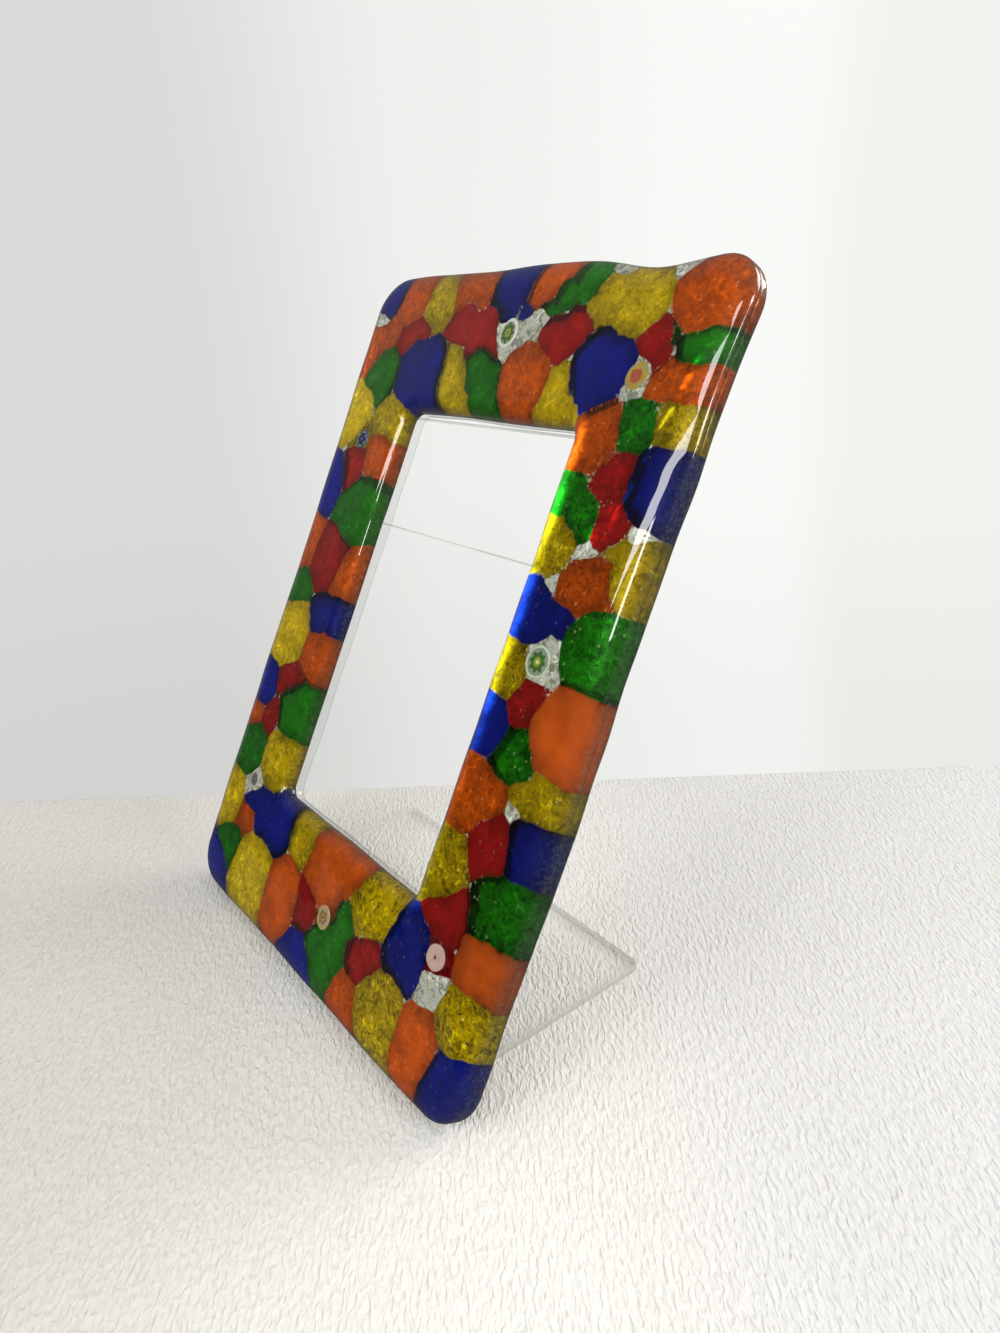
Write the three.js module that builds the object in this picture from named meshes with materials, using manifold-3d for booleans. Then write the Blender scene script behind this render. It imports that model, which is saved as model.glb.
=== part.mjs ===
// Free-standing picture frame of fused glass. A clear base ring carries a mosaic of coloured
// glass tiles and patterned cane slices. A clear acrylic pocket for the photograph and a bent
// acrylic leg are bonded to its back. Millimetres, +Z up, the front looks along -Y, and the
// origin is the middle of the foot's underside, on the table.
//
// The glass is laid out flat in slab coordinates and then leaned back: across is to the right
// seen from the front, up runs up the slab from its bottom edge, and depth runs from the front
// face to the back.
import * as THREE from "three";
import { mergeVertices } from "three/addons/utils/BufferGeometryUtils.js";
import Module from "manifold-3d";

// Glass slab
const FRAME_WIDTH = 144;
const FRAME_HEIGHT = 200;
const SIDE_BORDER = 36.5;
const END_BORDER = 40.5;
const OUTER_CORNER_RADIUS = 11;
const WINDOW_CORNER_RADIUS = 3.5;
const BASE_THICKNESS = 3.4;
const TILE_THICKNESS = 4.3;
const LEAN_DEGREES = 28;

// Mosaic
const JOINT_WIDTH = 0.5;
const FUSE_GAP = 0.3;
const TILE_SETBACK = 0.4;
const FRONT_ROUNDING = 3.6;
const BACK_ROUNDING = 1.6;
const JOINT_DROP = 0.6;
const CORNER_SHARPNESS = 9;
const LOOSE_TILE_RADIUS = 7.6;
const LONGEST_REACH = 30;
const FUSE_OVERLAP = 0.2;

// Acrylic pocket and leg
const PHOTO_WIDTH = 89;
const PHOTO_HEIGHT = 127;
const PHOTO_CLEARANCE = 1;
const PHOTO_GRIP = 3;
const BOND_GAP = 0.3;
const SPACER_THICKNESS = 2.5;
const SPACER_WIDTH = 7;
const PLATE_THICKNESS = 2;
const PLATE_CORNER_RADIUS = 3;
const LEG_THICKNESS = 2;
const LEG_WIDTH = 113;
const LEG_TOP = 127;
const LEG_CORNER_RADIUS = 2;
const BEND_OUTER_RADIUS = 5;
const FOOT_LENGTH = 54.5;
const CUT_MARGIN = 1;

// Sampling of curved forms
const OUTLINE_CORNER_STEPS = 6;
const OUTLINE_SIDE_STEPS = 8;
const ROUNDING_STEPS = 3;
const LOOSE_TILE_RAYS = 16;
const CHIP_RAYS = 12;
const SEARCH_STEPS = 24;
const BEND_STEPS = 12;
const SAME_POINT = 1e-4;

const GLASS_COLOURS = {
  clear: "#cfd6d2",
  orange: "#c2410c",
  red: "#a3181c",
  blue: "#14227f",
  green: "#1c6b1f",
  yellow: "#b8970f",
};
const CANE_COLOUR = "#8f9a4a";
const ACRYLIC_COLOUR = "#dfe6e4";
const GLASS_ROUGHNESS = 0.08;
const ACRYLIC_ROUGHNESS = 0.04;
const CLEAR_GLASS_OPACITY = 0.5;
const ACRYLIC_OPACITY = 0.3;

// Tiles as laid, bar by bar: where the middle lies, the tile's radius and its glass. Across and
// up are 0 at the middle of the slab, 1 at the window's edge and 2 at the outer edge, so every
// piece keeps its place in its border.
const TILES = {
  top: [
    { across: -1.74, up: 1.84, radius: 6.2, glass: "blue" },
    { across: -1.37, up: 1.79, radius: 7.6, glass: "orange" },
    { across: -1.575, up: 1.556, radius: 4, glass: "orange" },
    { across: -1.233, up: 1.536, radius: 6, glass: "red" },
    { across: -0.986, up: 1.753, radius: 7.6, glass: "yellow" },
    { across: -0.592, up: 1.84, radius: 7, glass: "orange" },
    { across: -0.423, up: 1.568, radius: 8, glass: "red" },
    { across: -0.107, up: 1.84, radius: 8.5, glass: "blue" },
    { across: 0.324, up: 1.864, radius: 5, glass: "orange" },
    { across: 0.324, up: 1.617, radius: 3.5, glass: "clear" },
    { across: 0.634, up: 1.864, radius: 7, glass: "green" },
    { across: 0.648, up: 1.568, radius: 7, glass: "red" },
    { across: 1.178, up: 1.753, radius: 10.3, glass: "yellow" },
    { across: 1.767, up: 1.753, radius: 9.5, glass: "orange" },
    { across: 1.808, up: 1.494, radius: 6, glass: "green" },
    { across: 1.479, up: 1.506, radius: 4.4, glass: "red" },
    { across: 1.808, up: 1.284, radius: 6.5, glass: "orange" },
    { across: 1.068, up: 1.346, radius: 10.2, glass: "blue" },
    { across: 0.775, up: 1.16, radius: 6.5, glass: "yellow" },
    { across: 0.338, up: 1.259, radius: 9, glass: "orange" },
    { across: -0.141, up: 1.21, radius: 8.6, glass: "green" },
    { across: -0.493, up: 1.222, radius: 7, glass: "yellow" },
    { across: -1, up: 1.247, radius: 12, glass: "blue" },
    { across: -1.507, up: 1.235, radius: 8.2, glass: "green" },
    { across: -1.836, up: 1.432, radius: 7, glass: "orange" },
  ],
  left: [
    { across: -1.781, up: 0.924, radius: 9, glass: "yellow" },
    { across: -1.192, up: 0.933, radius: 8, glass: "yellow" },
    { across: -1.219, up: 0.756, radius: 7, glass: "orange" },
    { across: -1.493, up: 0.655, radius: 6.5, glass: "red" },
    { across: -1.808, up: 0.571, radius: 8.5, glass: "blue" },
    { across: -1.288, up: 0.471, radius: 10, glass: "green" },
    { across: -1.836, up: 0.218, radius: 7.6, glass: "orange" },
    { across: -1.452, up: 0.193, radius: 9.4, glass: "red" },
    { across: -1.123, up: 0.118, radius: 6, glass: "orange" },
    { across: -1.726, up: 0, radius: 6, glass: "green" },
    { across: -1.178, up: -0.101, radius: 7.6, glass: "blue" },
    { across: -1.644, up: -0.252, radius: 10.5, glass: "yellow" },
    { across: -1.178, up: -0.294, radius: 8, glass: "orange" },
    { across: -1.452, up: -0.445, radius: 5.5, glass: "red" },
    { across: -1.781, up: -0.555, radius: 7, glass: "blue" },
    { across: -1.178, up: -0.605, radius: 9.5, glass: "green" },
    { across: -1.699, up: -0.723, radius: 6.5, glass: "orange" },
    { across: -1.699, up: -0.891, radius: 8.5, glass: "green" },
    { across: -1.192, up: -0.866, radius: 9.3, glass: "yellow" },
  ],
  bottom: [
    { across: -1.781, up: -1.284, radius: 9, glass: "yellow" },
    { across: -1.014, up: -1.2, radius: 9.5, glass: "blue" },
    { across: -1.452, up: -1.346, radius: 5, glass: "orange" },
    { across: -1.534, up: -1.58, radius: 6, glass: "green" },
    { across: -1.699, up: -1.778, radius: 7, glass: "blue" },
    { across: -1.041, up: -1.679, radius: 11.5, glass: "yellow" },
    { across: -0.549, up: -1.605, radius: 10, glass: "orange" },
    { across: -0.507, up: -1.16, radius: 5.5, glass: "yellow" },
    { across: 0.056, up: -1.195, radius: 10.6, glass: "orange" },
    { across: -0.141, up: -1.568, radius: 6, glass: "red" },
    { across: -0.085, up: -1.84, radius: 6.5, glass: "blue" },
    { across: 0.282, up: -1.667, radius: 8.5, glass: "green" },
    { across: 0.648, up: -1.198, radius: 9, glass: "yellow" },
    { across: 0.761, up: -1.494, radius: 6, glass: "red" },
    { across: 0.648, up: -1.79, radius: 6, glass: "orange" },
    { across: 1.068, up: -1.704, radius: 9.5, glass: "yellow" },
    { across: 1.11, up: -1.272, radius: 8.5, glass: "blue" },
    { across: 1.479, up: -1.642, radius: 8.5, glass: "orange" },
    { across: 1.808, up: -1.728, radius: 8, glass: "blue" },
    { across: 1.781, up: -1.37, radius: 7, glass: "yellow" },
  ],
  right: [
    { across: 1.781, up: -1.074, radius: 7.6, glass: "orange" },
    { across: 1.392, up: -0.941, radius: 6.3, glass: "red" },
    { across: 1.803, up: -0.807, radius: 9, glass: "green" },
    { across: 1.178, up: -0.798, radius: 7.6, glass: "yellow" },
    { across: 1.534, up: -0.622, radius: 7, glass: "red" },
    { across: 1.836, up: -0.555, radius: 7.6, glass: "blue" },
    { across: 1.233, up: -0.479, radius: 8.2, glass: "orange" },
    { across: 1.808, up: -0.378, radius: 6.5, glass: "yellow" },
    { across: 1.493, up: -0.286, radius: 6.5, glass: "green" },
    { across: 1.822, up: -0.124, radius: 10.7, glass: "orange" },
    { across: 1.164, up: -0.21, radius: 6.5, glass: "blue" },
    { across: 1.425, up: -0.076, radius: 5, glass: "red" },
    { across: 1.164, up: 0.034, radius: 6.5, glass: "yellow" },
    { across: 1.822, up: 0.185, radius: 9.3, glass: "green" },
    { across: 1.233, up: 0.261, radius: 7.6, glass: "blue" },
    { across: 1.595, up: 0.417, radius: 6.7, glass: "orange" },
    { across: 1.89, up: 0.487, radius: 6.5, glass: "yellow" },
    { across: 1.178, up: 0.521, radius: 7, glass: "yellow" },
    { across: 1.288, up: 0.697, radius: 6.5, glass: "green" },
    { across: 1.611, up: 0.666, radius: 5.6, glass: "red" },
    { across: 1.507, up: 0.824, radius: 6, glass: "red" },
    { across: 1.863, up: 0.815, radius: 8.8, glass: "blue" },
    { across: 1.219, up: 0.95, radius: 8, glass: "orange" },
    { across: 1.562, up: 1.037, radius: 5.5, glass: "green" },
    { across: 1.836, up: 1.062, radius: 6, glass: "yellow" },
  ],
};

// Slices of patterned cane set among the tiles
const CANE_SLICES = [
  { name: "cane_slice_top", across: -0.008, up: 1.556, radius: 3.7 },
  { name: "cane_slice_top_right", across: 1.403, up: 1.309, radius: 3.4 },
  { name: "cane_slice_right", across: 1.405, up: 0.092, radius: 3.9 },
  { name: "cane_slice_bottom_right", across: 1.405, up: -1.17, radius: 3.5 },
  { name: "cane_slice_bottom", across: 0.124, up: -1.494, radius: 3.2 },
  { name: "cane_slice_bottom_left", across: -1.468, up: -1.049, radius: 2.9 },
  { name: "cane_slice_left", across: -1.529, up: 0.82, radius: 3 },
];

// Soft dents that the kiln left in the outer outline and in the window's, each placed by its
// share of the outline's half width and half height from the middle of the slab
const OUTER_DENTS = [
  { acrossShare: 0.6, upShare: 1, reach: 12, depth: 1.2 },
  { acrossShare: -0.6, upShare: 1, reach: 20, depth: 0.6 },
  { acrossShare: 1, upShare: 0.05, reach: 22, depth: 0.6 },
  { acrossShare: 1, upShare: -0.66, reach: 16, depth: 0.8 },
  { acrossShare: -1, upShare: 0.3, reach: 22, depth: 0.7 },
  { acrossShare: -1, upShare: -0.5, reach: 18, depth: 0.5 },
  { acrossShare: -0.3, upShare: -1, reach: 24, depth: 0.5 },
];
const WINDOW_DENTS = [
  { acrossShare: 0.2, upShare: -1, reach: 18, depth: -0.8 },
  { acrossShare: -0.4, upShare: 1, reach: 14, depth: 0.5 },
  { acrossShare: 1, upShare: -0.5, reach: 18, depth: 0.6 },
  { acrossShare: -1, upShare: 0.2, reach: 22, depth: 0.5 },
];

// The rings of points that shape a tile's front, from its joint inwards: how far in from the
// joint and from the glass's edge, and what share of the joint's drop is left there
const FRONT_RINGS = [
  { fromJoint: 0, fromEdge: 0, dropShare: 1 },
  { fromJoint: 0.7, fromEdge: 0.7, dropShare: 0.35 },
  { fromJoint: 2.2, fromEdge: 2.4, dropShare: 0 },
];
const DEEPEST_INSET_SHARE = 0.6;

// Sizes that follow from the ones above
const LEAN = THREE.MathUtils.degToRad(LEAN_DEGREES);
const HALF_WIDTH = FRAME_WIDTH / 2;
const HALF_HEIGHT = FRAME_HEIGHT / 2;
const WINDOW_HALF_WIDTH = HALF_WIDTH - SIDE_BORDER;
const WINDOW_HALF_HEIGHT = HALF_HEIGHT - END_BORDER;
const BASE_FRONT = TILE_THICKNESS + FUSE_GAP;
const BASE_BACK = BASE_FRONT + BASE_THICKNESS;
const SPACER_FRONT = BASE_BACK + BOND_GAP;
const PLATE_FRONT = SPACER_FRONT + SPACER_THICKNESS + BOND_GAP;
const LEG_FRONT = PLATE_FRONT + PLATE_THICKNESS + BOND_GAP;
const POCKET_HALF_WIDTH = PHOTO_WIDTH / 2 + PHOTO_CLEARANCE;
const POCKET_FLOOR = HALF_HEIGHT - PHOTO_HEIGHT / 2 - PHOTO_CLEARANCE;
const PLATE_HALF_WIDTH = POCKET_HALF_WIDTH + SPACER_WIDTH;
const PLATE_BOTTOM = POCKET_FLOOR - SPACER_WIDTH;
const PLATE_TOP = HALF_HEIGHT + PHOTO_HEIGHT / 2 - PHOTO_GRIP;

const wasm = await Module();
wasm.setup();

// A closed geometry as a solid that can be joined and cut
function solidFrom(geometry) {
  const plain = geometry.clone();
  plain.deleteAttribute("normal");
  plain.deleteAttribute("uv");
  const merged = mergeVertices(plain, SAME_POINT);
  const mesh = new wasm.Mesh({
    numProp: 3,
    vertProperties: merged.attributes.position.array,
    triVerts: new Uint32Array(merged.index.array),
  });
  return new wasm.Manifold(mesh);
}

// A solid's faces as a geometry
function geometryFrom(solid) {
  const mesh = solid.getMesh();
  const geometry = new THREE.BufferGeometry();
  geometry.setAttribute("position", new THREE.BufferAttribute(mesh.vertProperties, 3));
  geometry.setIndex(new THREE.BufferAttribute(mesh.triVerts, 1));
  const faceted = geometry.toNonIndexed();
  faceted.computeVertexNormals();
  return faceted;
}

// A geometry from a list of points and the triangles between them
function geometryOfFaces(points, faces) {
  const geometry = new THREE.BufferGeometry();
  geometry.setAttribute("position", new THREE.Float32BufferAttribute(points.flat(), 3));
  geometry.setIndex(faces.flat());
  return geometry;
}

// A point of the slab in the leaned group's own axes
function slabPoint(across, up, depth) {
  return [across, depth, up];
}

// Distance to a rounded rectangle about the slab's middle, negative inside it
function rectangleDistance(across, up, halfWidth, halfHeight, radius) {
  const pastSide = Math.abs(across) - halfWidth + radius;
  const pastEnd = Math.abs(up - HALF_HEIGHT) - halfHeight + radius;
  const outside = Math.hypot(Math.max(pastSide, 0), Math.max(pastEnd, 0));
  return outside + Math.min(Math.max(pastSide, pastEnd), 0) - radius;
}

// How far an outline's dents draw it into the glass near a point
function dentDepth(dents, across, up, halfWidth, halfHeight) {
  let depth = 0;
  for (const dent of dents) {
    const awayAcross = across - dent.acrossShare * halfWidth;
    const awayUp = up - HALF_HEIGHT - dent.upShare * halfHeight;
    const away = Math.hypot(awayAcross, awayUp) / dent.reach;
    depth += dent.depth * Math.exp(-away * away);
  }
  return depth;
}

const outerDent = (across, up) => dentDepth(OUTER_DENTS, across, up, HALF_WIDTH, HALF_HEIGHT);
const windowDent = (across, up) =>
  dentDepth(WINDOW_DENTS, across, up, WINDOW_HALF_WIDTH, WINDOW_HALF_HEIGHT);

// How far inside the glass a point of the slab lies, from the nearer of its two outlines
function glassDistance(across, up) {
  const outer = -rectangleDistance(across, up, HALF_WIDTH, HALF_HEIGHT, OUTER_CORNER_RADIUS);
  const window = rectangleDistance(
    across,
    up,
    WINDOW_HALF_WIDTH,
    WINDOW_HALF_HEIGHT,
    WINDOW_CORNER_RADIUS,
  );
  return Math.min(outer - outerDent(across, up), window - windowDent(across, up));
}

// Stations around a rounded rectangle, each with its direction away from the slab's middle
function outlineStations(halfWidth, halfHeight, radius) {
  const quarters = [
    [1, 1],
    [-1, 1],
    [-1, -1],
    [1, -1],
  ];
  const arcs = quarters.map(([side, end], quarter) => {
    const arc = [];
    for (let step = 0; step <= OUTLINE_CORNER_STEPS; step++) {
      const angle = (quarter + step / OUTLINE_CORNER_STEPS) * (Math.PI / 2);
      const outAcross = Math.cos(angle);
      const outUp = Math.sin(angle);
      const across = side * (halfWidth - radius) + radius * outAcross;
      const up = HALF_HEIGHT + end * (halfHeight - radius) + radius * outUp;
      arc.push({ across, up, outAcross, outUp });
    }
    return arc;
  });
  return arcs.flatMap((arc, quarter) => {
    const from = arc.at(-1);
    const to = arcs[(quarter + 1) % arcs.length][0];
    const run = [];
    for (let step = 1; step < OUTLINE_SIDE_STEPS; step++) {
      const share = step / OUTLINE_SIDE_STEPS;
      const across = THREE.MathUtils.lerp(from.across, to.across, share);
      const up = THREE.MathUtils.lerp(from.up, to.up, share);
      run.push({ across, up, outAcross: from.outAcross, outUp: from.outUp });
    }
    return [...arc, ...run];
  });
}

// The quarter round of the base's back edge, as insets from the edge and depths
function backRounding() {
  const points = [{ inset: 0, depth: BASE_FRONT }];
  for (let step = 0; step <= ROUNDING_STEPS; step++) {
    const angle = (step / ROUNDING_STEPS) * (Math.PI / 2);
    const inset = BACK_ROUNDING * (1 - Math.cos(angle));
    const depth = BASE_BACK - BACK_ROUNDING * (1 - Math.sin(angle));
    points.push({ inset, depth });
  }
  return points;
}

// The clear ring: its section is carried around both outlines together
function baseRingGeometry() {
  const outer = outlineStations(HALF_WIDTH, HALF_HEIGHT, OUTER_CORNER_RADIUS);
  const window = outlineStations(WINDOW_HALF_WIDTH, WINDOW_HALF_HEIGHT, WINDOW_CORNER_RADIUS);
  const rounding = backRounding();
  const rows = outer.map((station, index) => {
    const facing = window[index];
    const outerDraw = outerDent(station.across, station.up);
    const windowDraw = windowDent(facing.across, facing.up);
    const outerSide = rounding.map(({ inset, depth }) => {
      const draw = inset + outerDraw;
      const across = station.across - station.outAcross * draw;
      return slabPoint(across, station.up - station.outUp * draw, depth);
    });
    const windowSide = rounding.map(({ inset, depth }) => {
      const draw = inset + windowDraw;
      const across = facing.across + facing.outAcross * draw;
      return slabPoint(across, facing.up + facing.outUp * draw, depth);
    });
    return [...outerSide, ...windowSide.reverse()];
  });
  const size = rows[0].length;
  const faces = [];
  rows.forEach((row, index) => {
    const here = index * size;
    const there = ((index + 1) % rows.length) * size;
    for (let point = 0; point < size; point++) {
      const next = (point + 1) % size;
      faces.push([here + point, there + next, there + point]);
      faces.push([here + point, here + next, there + next]);
    }
  });
  return geometryOfFaces(rows.flat(), faces);
}

// A coordinate of the layout carried to the slab
function carried(value, window, outer) {
  const size = Math.abs(value);
  if (size <= 1) return value * window;
  return Math.sign(value) * (window + (size - 1) * (outer - window));
}

// A laid piece with its middle carried to the slab
function laid(piece) {
  const across = carried(piece.across, WINDOW_HALF_WIDTH, HALF_WIDTH);
  const up = HALF_HEIGHT + carried(piece.up, WINDOW_HALF_HEIGHT, HALF_HEIGHT);
  return { ...piece, across, up };
}

// The straight joints around a piece. Two neighbours that just touch as circles meet on the
// line through that point, so a larger piece takes more room.
function jointsAround(piece, pieces) {
  return pieces
    .filter((other) => other !== piece)
    .map((other) => {
      const across = other.across - piece.across;
      const up = other.up - piece.up;
      const apart = Math.hypot(across, up);
      const distance = apart / 2 + (piece.radius ** 2 - other.radius ** 2) / (2 * apart);
      return { across: across / apart, up: up / apart, distance };
    });
}

// How far a ray from a piece's middle runs before its joints, whose corners are softened
function reachToJoints(joints, ray, inset) {
  let sum = 0;
  for (const joint of joints) {
    const towards = joint.across * ray.across + joint.up * ray.up;
    const room = joint.distance - Math.min(inset, joint.distance * DEEPEST_INSET_SHARE);
    if (towards > 0) sum += (towards / room) ** CORNER_SHARPNESS;
  }
  return sum ** (-1 / CORNER_SHARPNESS);
}

// How far a ray runs before it comes nearer to the glass's edge than the inset
function reachToEdge(piece, ray, furthest, inset) {
  const inside = (reach) =>
    glassDistance(piece.across + ray.across * reach, piece.up + ray.up * reach) > inset;
  let near = 0;
  let far = furthest;
  for (let step = 1; step <= SEARCH_STEPS; step++) {
    const reach = (furthest * step) / SEARCH_STEPS;
    if (!inside(reach)) {
      far = reach;
      break;
    }
    near = reach;
  }
  for (let halving = 0; halving < SEARCH_STEPS && near < far; halving++) {
    const middle = (near + far) / 2;
    if (inside(middle)) near = middle;
    else far = middle;
  }
  return near;
}

// Depth of the fire-polished front at a distance from the tiles' edge
function roundedFront(fromEdge) {
  const radius = Math.min(FRONT_ROUNDING, TILE_THICKNESS);
  const left = Math.max(radius - Math.max(fromEdge, 0), 0);
  return radius - Math.sqrt(radius * radius - left * left);
}

// A piece of the mosaic: its outline follows its joints and the slab's outlines, and its
// front falls to its joints and rounds over at the slab's edges
function mosaicGeometry(piece, pieces, rays, backDepth) {
  const joints = jointsAround(piece, pieces);
  const cap = piece.cap ?? LONGEST_REACH;
  const room = glassDistance(piece.across, piece.up);
  const directions = Array.from({ length: rays }, (_, index) => {
    const angle = (index / rays) * 2 * Math.PI;
    return { across: Math.cos(angle), up: Math.sin(angle) };
  });
  const rings = FRONT_RINGS.map(({ fromJoint, fromEdge, dropShare }) =>
    directions.map((ray) => {
      const toJoints = reachToJoints(joints, ray, JOINT_WIDTH / 2 + fromJoint);
      const furthest = Math.min(toJoints, cap - Math.min(fromJoint, cap * DEEPEST_INSET_SHARE));
      const inset = Math.min(TILE_SETBACK + fromEdge, room * DEEPEST_INSET_SHARE);
      const reach = reachToEdge(piece, ray, furthest, inset);
      const across = piece.across + ray.across * reach;
      const up = piece.up + ray.up * reach;
      const rounded = roundedFront(glassDistance(across, up) - TILE_SETBACK);
      return { across, up, depth: Math.max(rounded, dropShare * JOINT_DROP) };
    }),
  );
  const back = rings[0].map(({ across, up }) => ({ across, up, depth: backDepth }));
  const layers = [back, ...rings];
  const points = layers.flat().map(({ across, up, depth }) => slabPoint(across, up, depth));
  const frontMiddle = points.length;
  const backMiddle = frontMiddle + 1;
  points.push(slabPoint(piece.across, piece.up, roundedFront(room - TILE_SETBACK)));
  points.push(slabPoint(piece.across, piece.up, backDepth));
  const faces = [];
  directions.forEach((_, index) => {
    const next = (index + 1) % rays;
    for (let inner = rays; inner < layers.length * rays; inner += rays) {
      const outer = inner - rays;
      faces.push([outer + index, outer + next, inner + next]);
      faces.push([outer + index, inner + next, inner + index]);
    }
    const last = (layers.length - 1) * rays;
    faces.push([last + index, last + next, frontMiddle]);
    faces.push([next, index, backMiddle]);
  });
  return geometryOfFaces(points, faces);
}

// A rounded rectangle of sheet, laid on the slab from one depth backwards
function sheetGeometry(left, right, bottom, top, radius, front, thickness) {
  const shape = new THREE.Shape();
  shape.moveTo(left + radius, bottom);
  shape.lineTo(right - radius, bottom);
  shape.absarc(right - radius, bottom + radius, radius, -Math.PI / 2, 0, false);
  shape.lineTo(right, top - radius);
  shape.absarc(right - radius, top - radius, radius, 0, Math.PI / 2, false);
  shape.lineTo(left + radius, top);
  shape.absarc(left + radius, top - radius, radius, Math.PI / 2, Math.PI, false);
  shape.lineTo(left, bottom + radius);
  shape.absarc(left + radius, bottom + radius, radius, Math.PI, 1.5 * Math.PI, false);
  const geometry = new THREE.ExtrudeGeometry(shape, {
    depth: thickness,
    bevelEnabled: false,
    curveSegments: OUTLINE_CORNER_STEPS,
  });
  geometry.rotateX(Math.PI / 2);
  geometry.translate(0, front + thickness, 0);
  return geometry;
}

// A strip of the pocket's frame, square at its ends
function spacerGeometry(left, right, bottom, top) {
  const geometry = new THREE.BoxGeometry(right - left, SPACER_THICKNESS, top - bottom);
  const middle = SPACER_FRONT + SPACER_THICKNESS / 2;
  geometry.translate((left + right) / 2, middle, (bottom + top) / 2);
  return geometry;
}

// Where the leg's bend is centred, in the standing frame, for a slab lifted by so much
function bendCentre(lift) {
  const depth = LEG_FRONT + BEND_OUTER_RADIUS;
  const up = (BEND_OUTER_RADIUS - lift + depth * Math.sin(LEAN)) / Math.cos(LEAN);
  return { y: up * Math.sin(LEAN) + depth * Math.cos(LEAN), z: BEND_OUTER_RADIUS };
}

// A point of the slab's middle plane in the standing frame
function standing(up, depth, lift) {
  const y = up * Math.sin(LEAN) + depth * Math.cos(LEAN);
  const z = up * Math.cos(LEAN) - depth * Math.sin(LEAN) + lift;
  return { y, z };
}

// The waste of a rounded corner, with the sharp corner at the origin and the sheet below left
function cornerWaste(radius, thickness) {
  const shape = new THREE.Shape();
  shape.moveTo(CUT_MARGIN, CUT_MARGIN);
  shape.lineTo(-radius, CUT_MARGIN);
  shape.lineTo(-radius, 0);
  shape.absarc(-radius, -radius, radius, Math.PI / 2, 0, true);
  shape.lineTo(CUT_MARGIN, -radius);
  const geometry = new THREE.ExtrudeGeometry(shape, {
    depth: thickness + 2 * CUT_MARGIN,
    bevelEnabled: false,
    curveSegments: OUTLINE_CORNER_STEPS,
  });
  geometry.translate(0, 0, -CUT_MARGIN);
  return geometry;
}

// The leg: one sheet bent from the upright, which is bonded to the plate, into the flat foot
function legGeometry(lift) {
  const centre = bendCentre(lift);
  const innerRadius = BEND_OUTER_RADIUS - LEG_THICKNESS;
  const uprightAngle = Math.PI - LEAN;
  const rear = centre.y + FOOT_LENGTH;
  const frontTop = standing(LEG_TOP, LEG_FRONT, lift);
  const backTop = standing(LEG_TOP, LEG_FRONT + LEG_THICKNESS, lift);
  const shape = new THREE.Shape();
  shape.moveTo(rear, 0);
  shape.lineTo(rear, LEG_THICKNESS);
  shape.lineTo(centre.y, LEG_THICKNESS);
  shape.absarc(centre.y, centre.z, innerRadius, 1.5 * Math.PI, uprightAngle, true);
  shape.lineTo(backTop.y, backTop.z);
  shape.lineTo(frontTop.y, frontTop.z);
  shape.absarc(centre.y, centre.z, BEND_OUTER_RADIUS, uprightAngle, 1.5 * Math.PI, false);
  const profile = new THREE.ExtrudeGeometry(shape, {
    depth: LEG_WIDTH,
    bevelEnabled: false,
    curveSegments: BEND_STEPS,
  });
  const toStanding = new THREE.Matrix4().makeBasis(
    new THREE.Vector3(0, 1, 0),
    new THREE.Vector3(0, 0, 1),
    new THREE.Vector3(1, 0, 0),
  );
  profile.applyMatrix4(toStanding);
  profile.translate(-LEG_WIDTH / 2, 0, 0);

  let solid = solidFrom(profile);
  for (const side of [1, -1]) {
    const foot = cornerWaste(LEG_CORNER_RADIUS, LEG_THICKNESS);
    if (side < 0) foot.rotateZ(Math.PI / 2);
    foot.translate((side * LEG_WIDTH) / 2, rear, 0);
    const top = cornerWaste(LEG_CORNER_RADIUS, LEG_THICKNESS);
    if (side < 0) top.rotateZ(Math.PI / 2);
    top.rotateX(Math.PI / 2);
    top.translate((side * LEG_WIDTH) / 2, LEG_FRONT + LEG_THICKNESS, LEG_TOP);
    top.rotateX(-LEAN);
    top.translate(0, 0, lift);
    solid = solid.subtract(solidFrom(foot)).subtract(solidFrom(top));
  }
  return geometryFrom(solid);
}

// A named mesh in glass or acrylic of one colour
function namedMesh(name, geometry, colour, roughness, opacity) {
  const material = new THREE.MeshStandardMaterial({
    color: colour,
    roughness,
    metalness: 0,
    opacity,
    transparent: opacity < 1,
  });
  const mesh = new THREE.Mesh(geometry, material);
  mesh.name = name;
  return mesh;
}

const glassMesh = (name, geometry, colour) =>
  namedMesh(name, geometry, colour, GLASS_ROUGHNESS, 1);
const clearGlassMesh = (name, geometry) =>
  namedMesh(name, geometry, GLASS_COLOURS.clear, GLASS_ROUGHNESS, CLEAR_GLASS_OPACITY);
const acrylicMesh = (name, geometry) =>
  namedMesh(name, geometry, ACRYLIC_COLOUR, ACRYLIC_ROUGHNESS, ACRYLIC_OPACITY);

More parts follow.
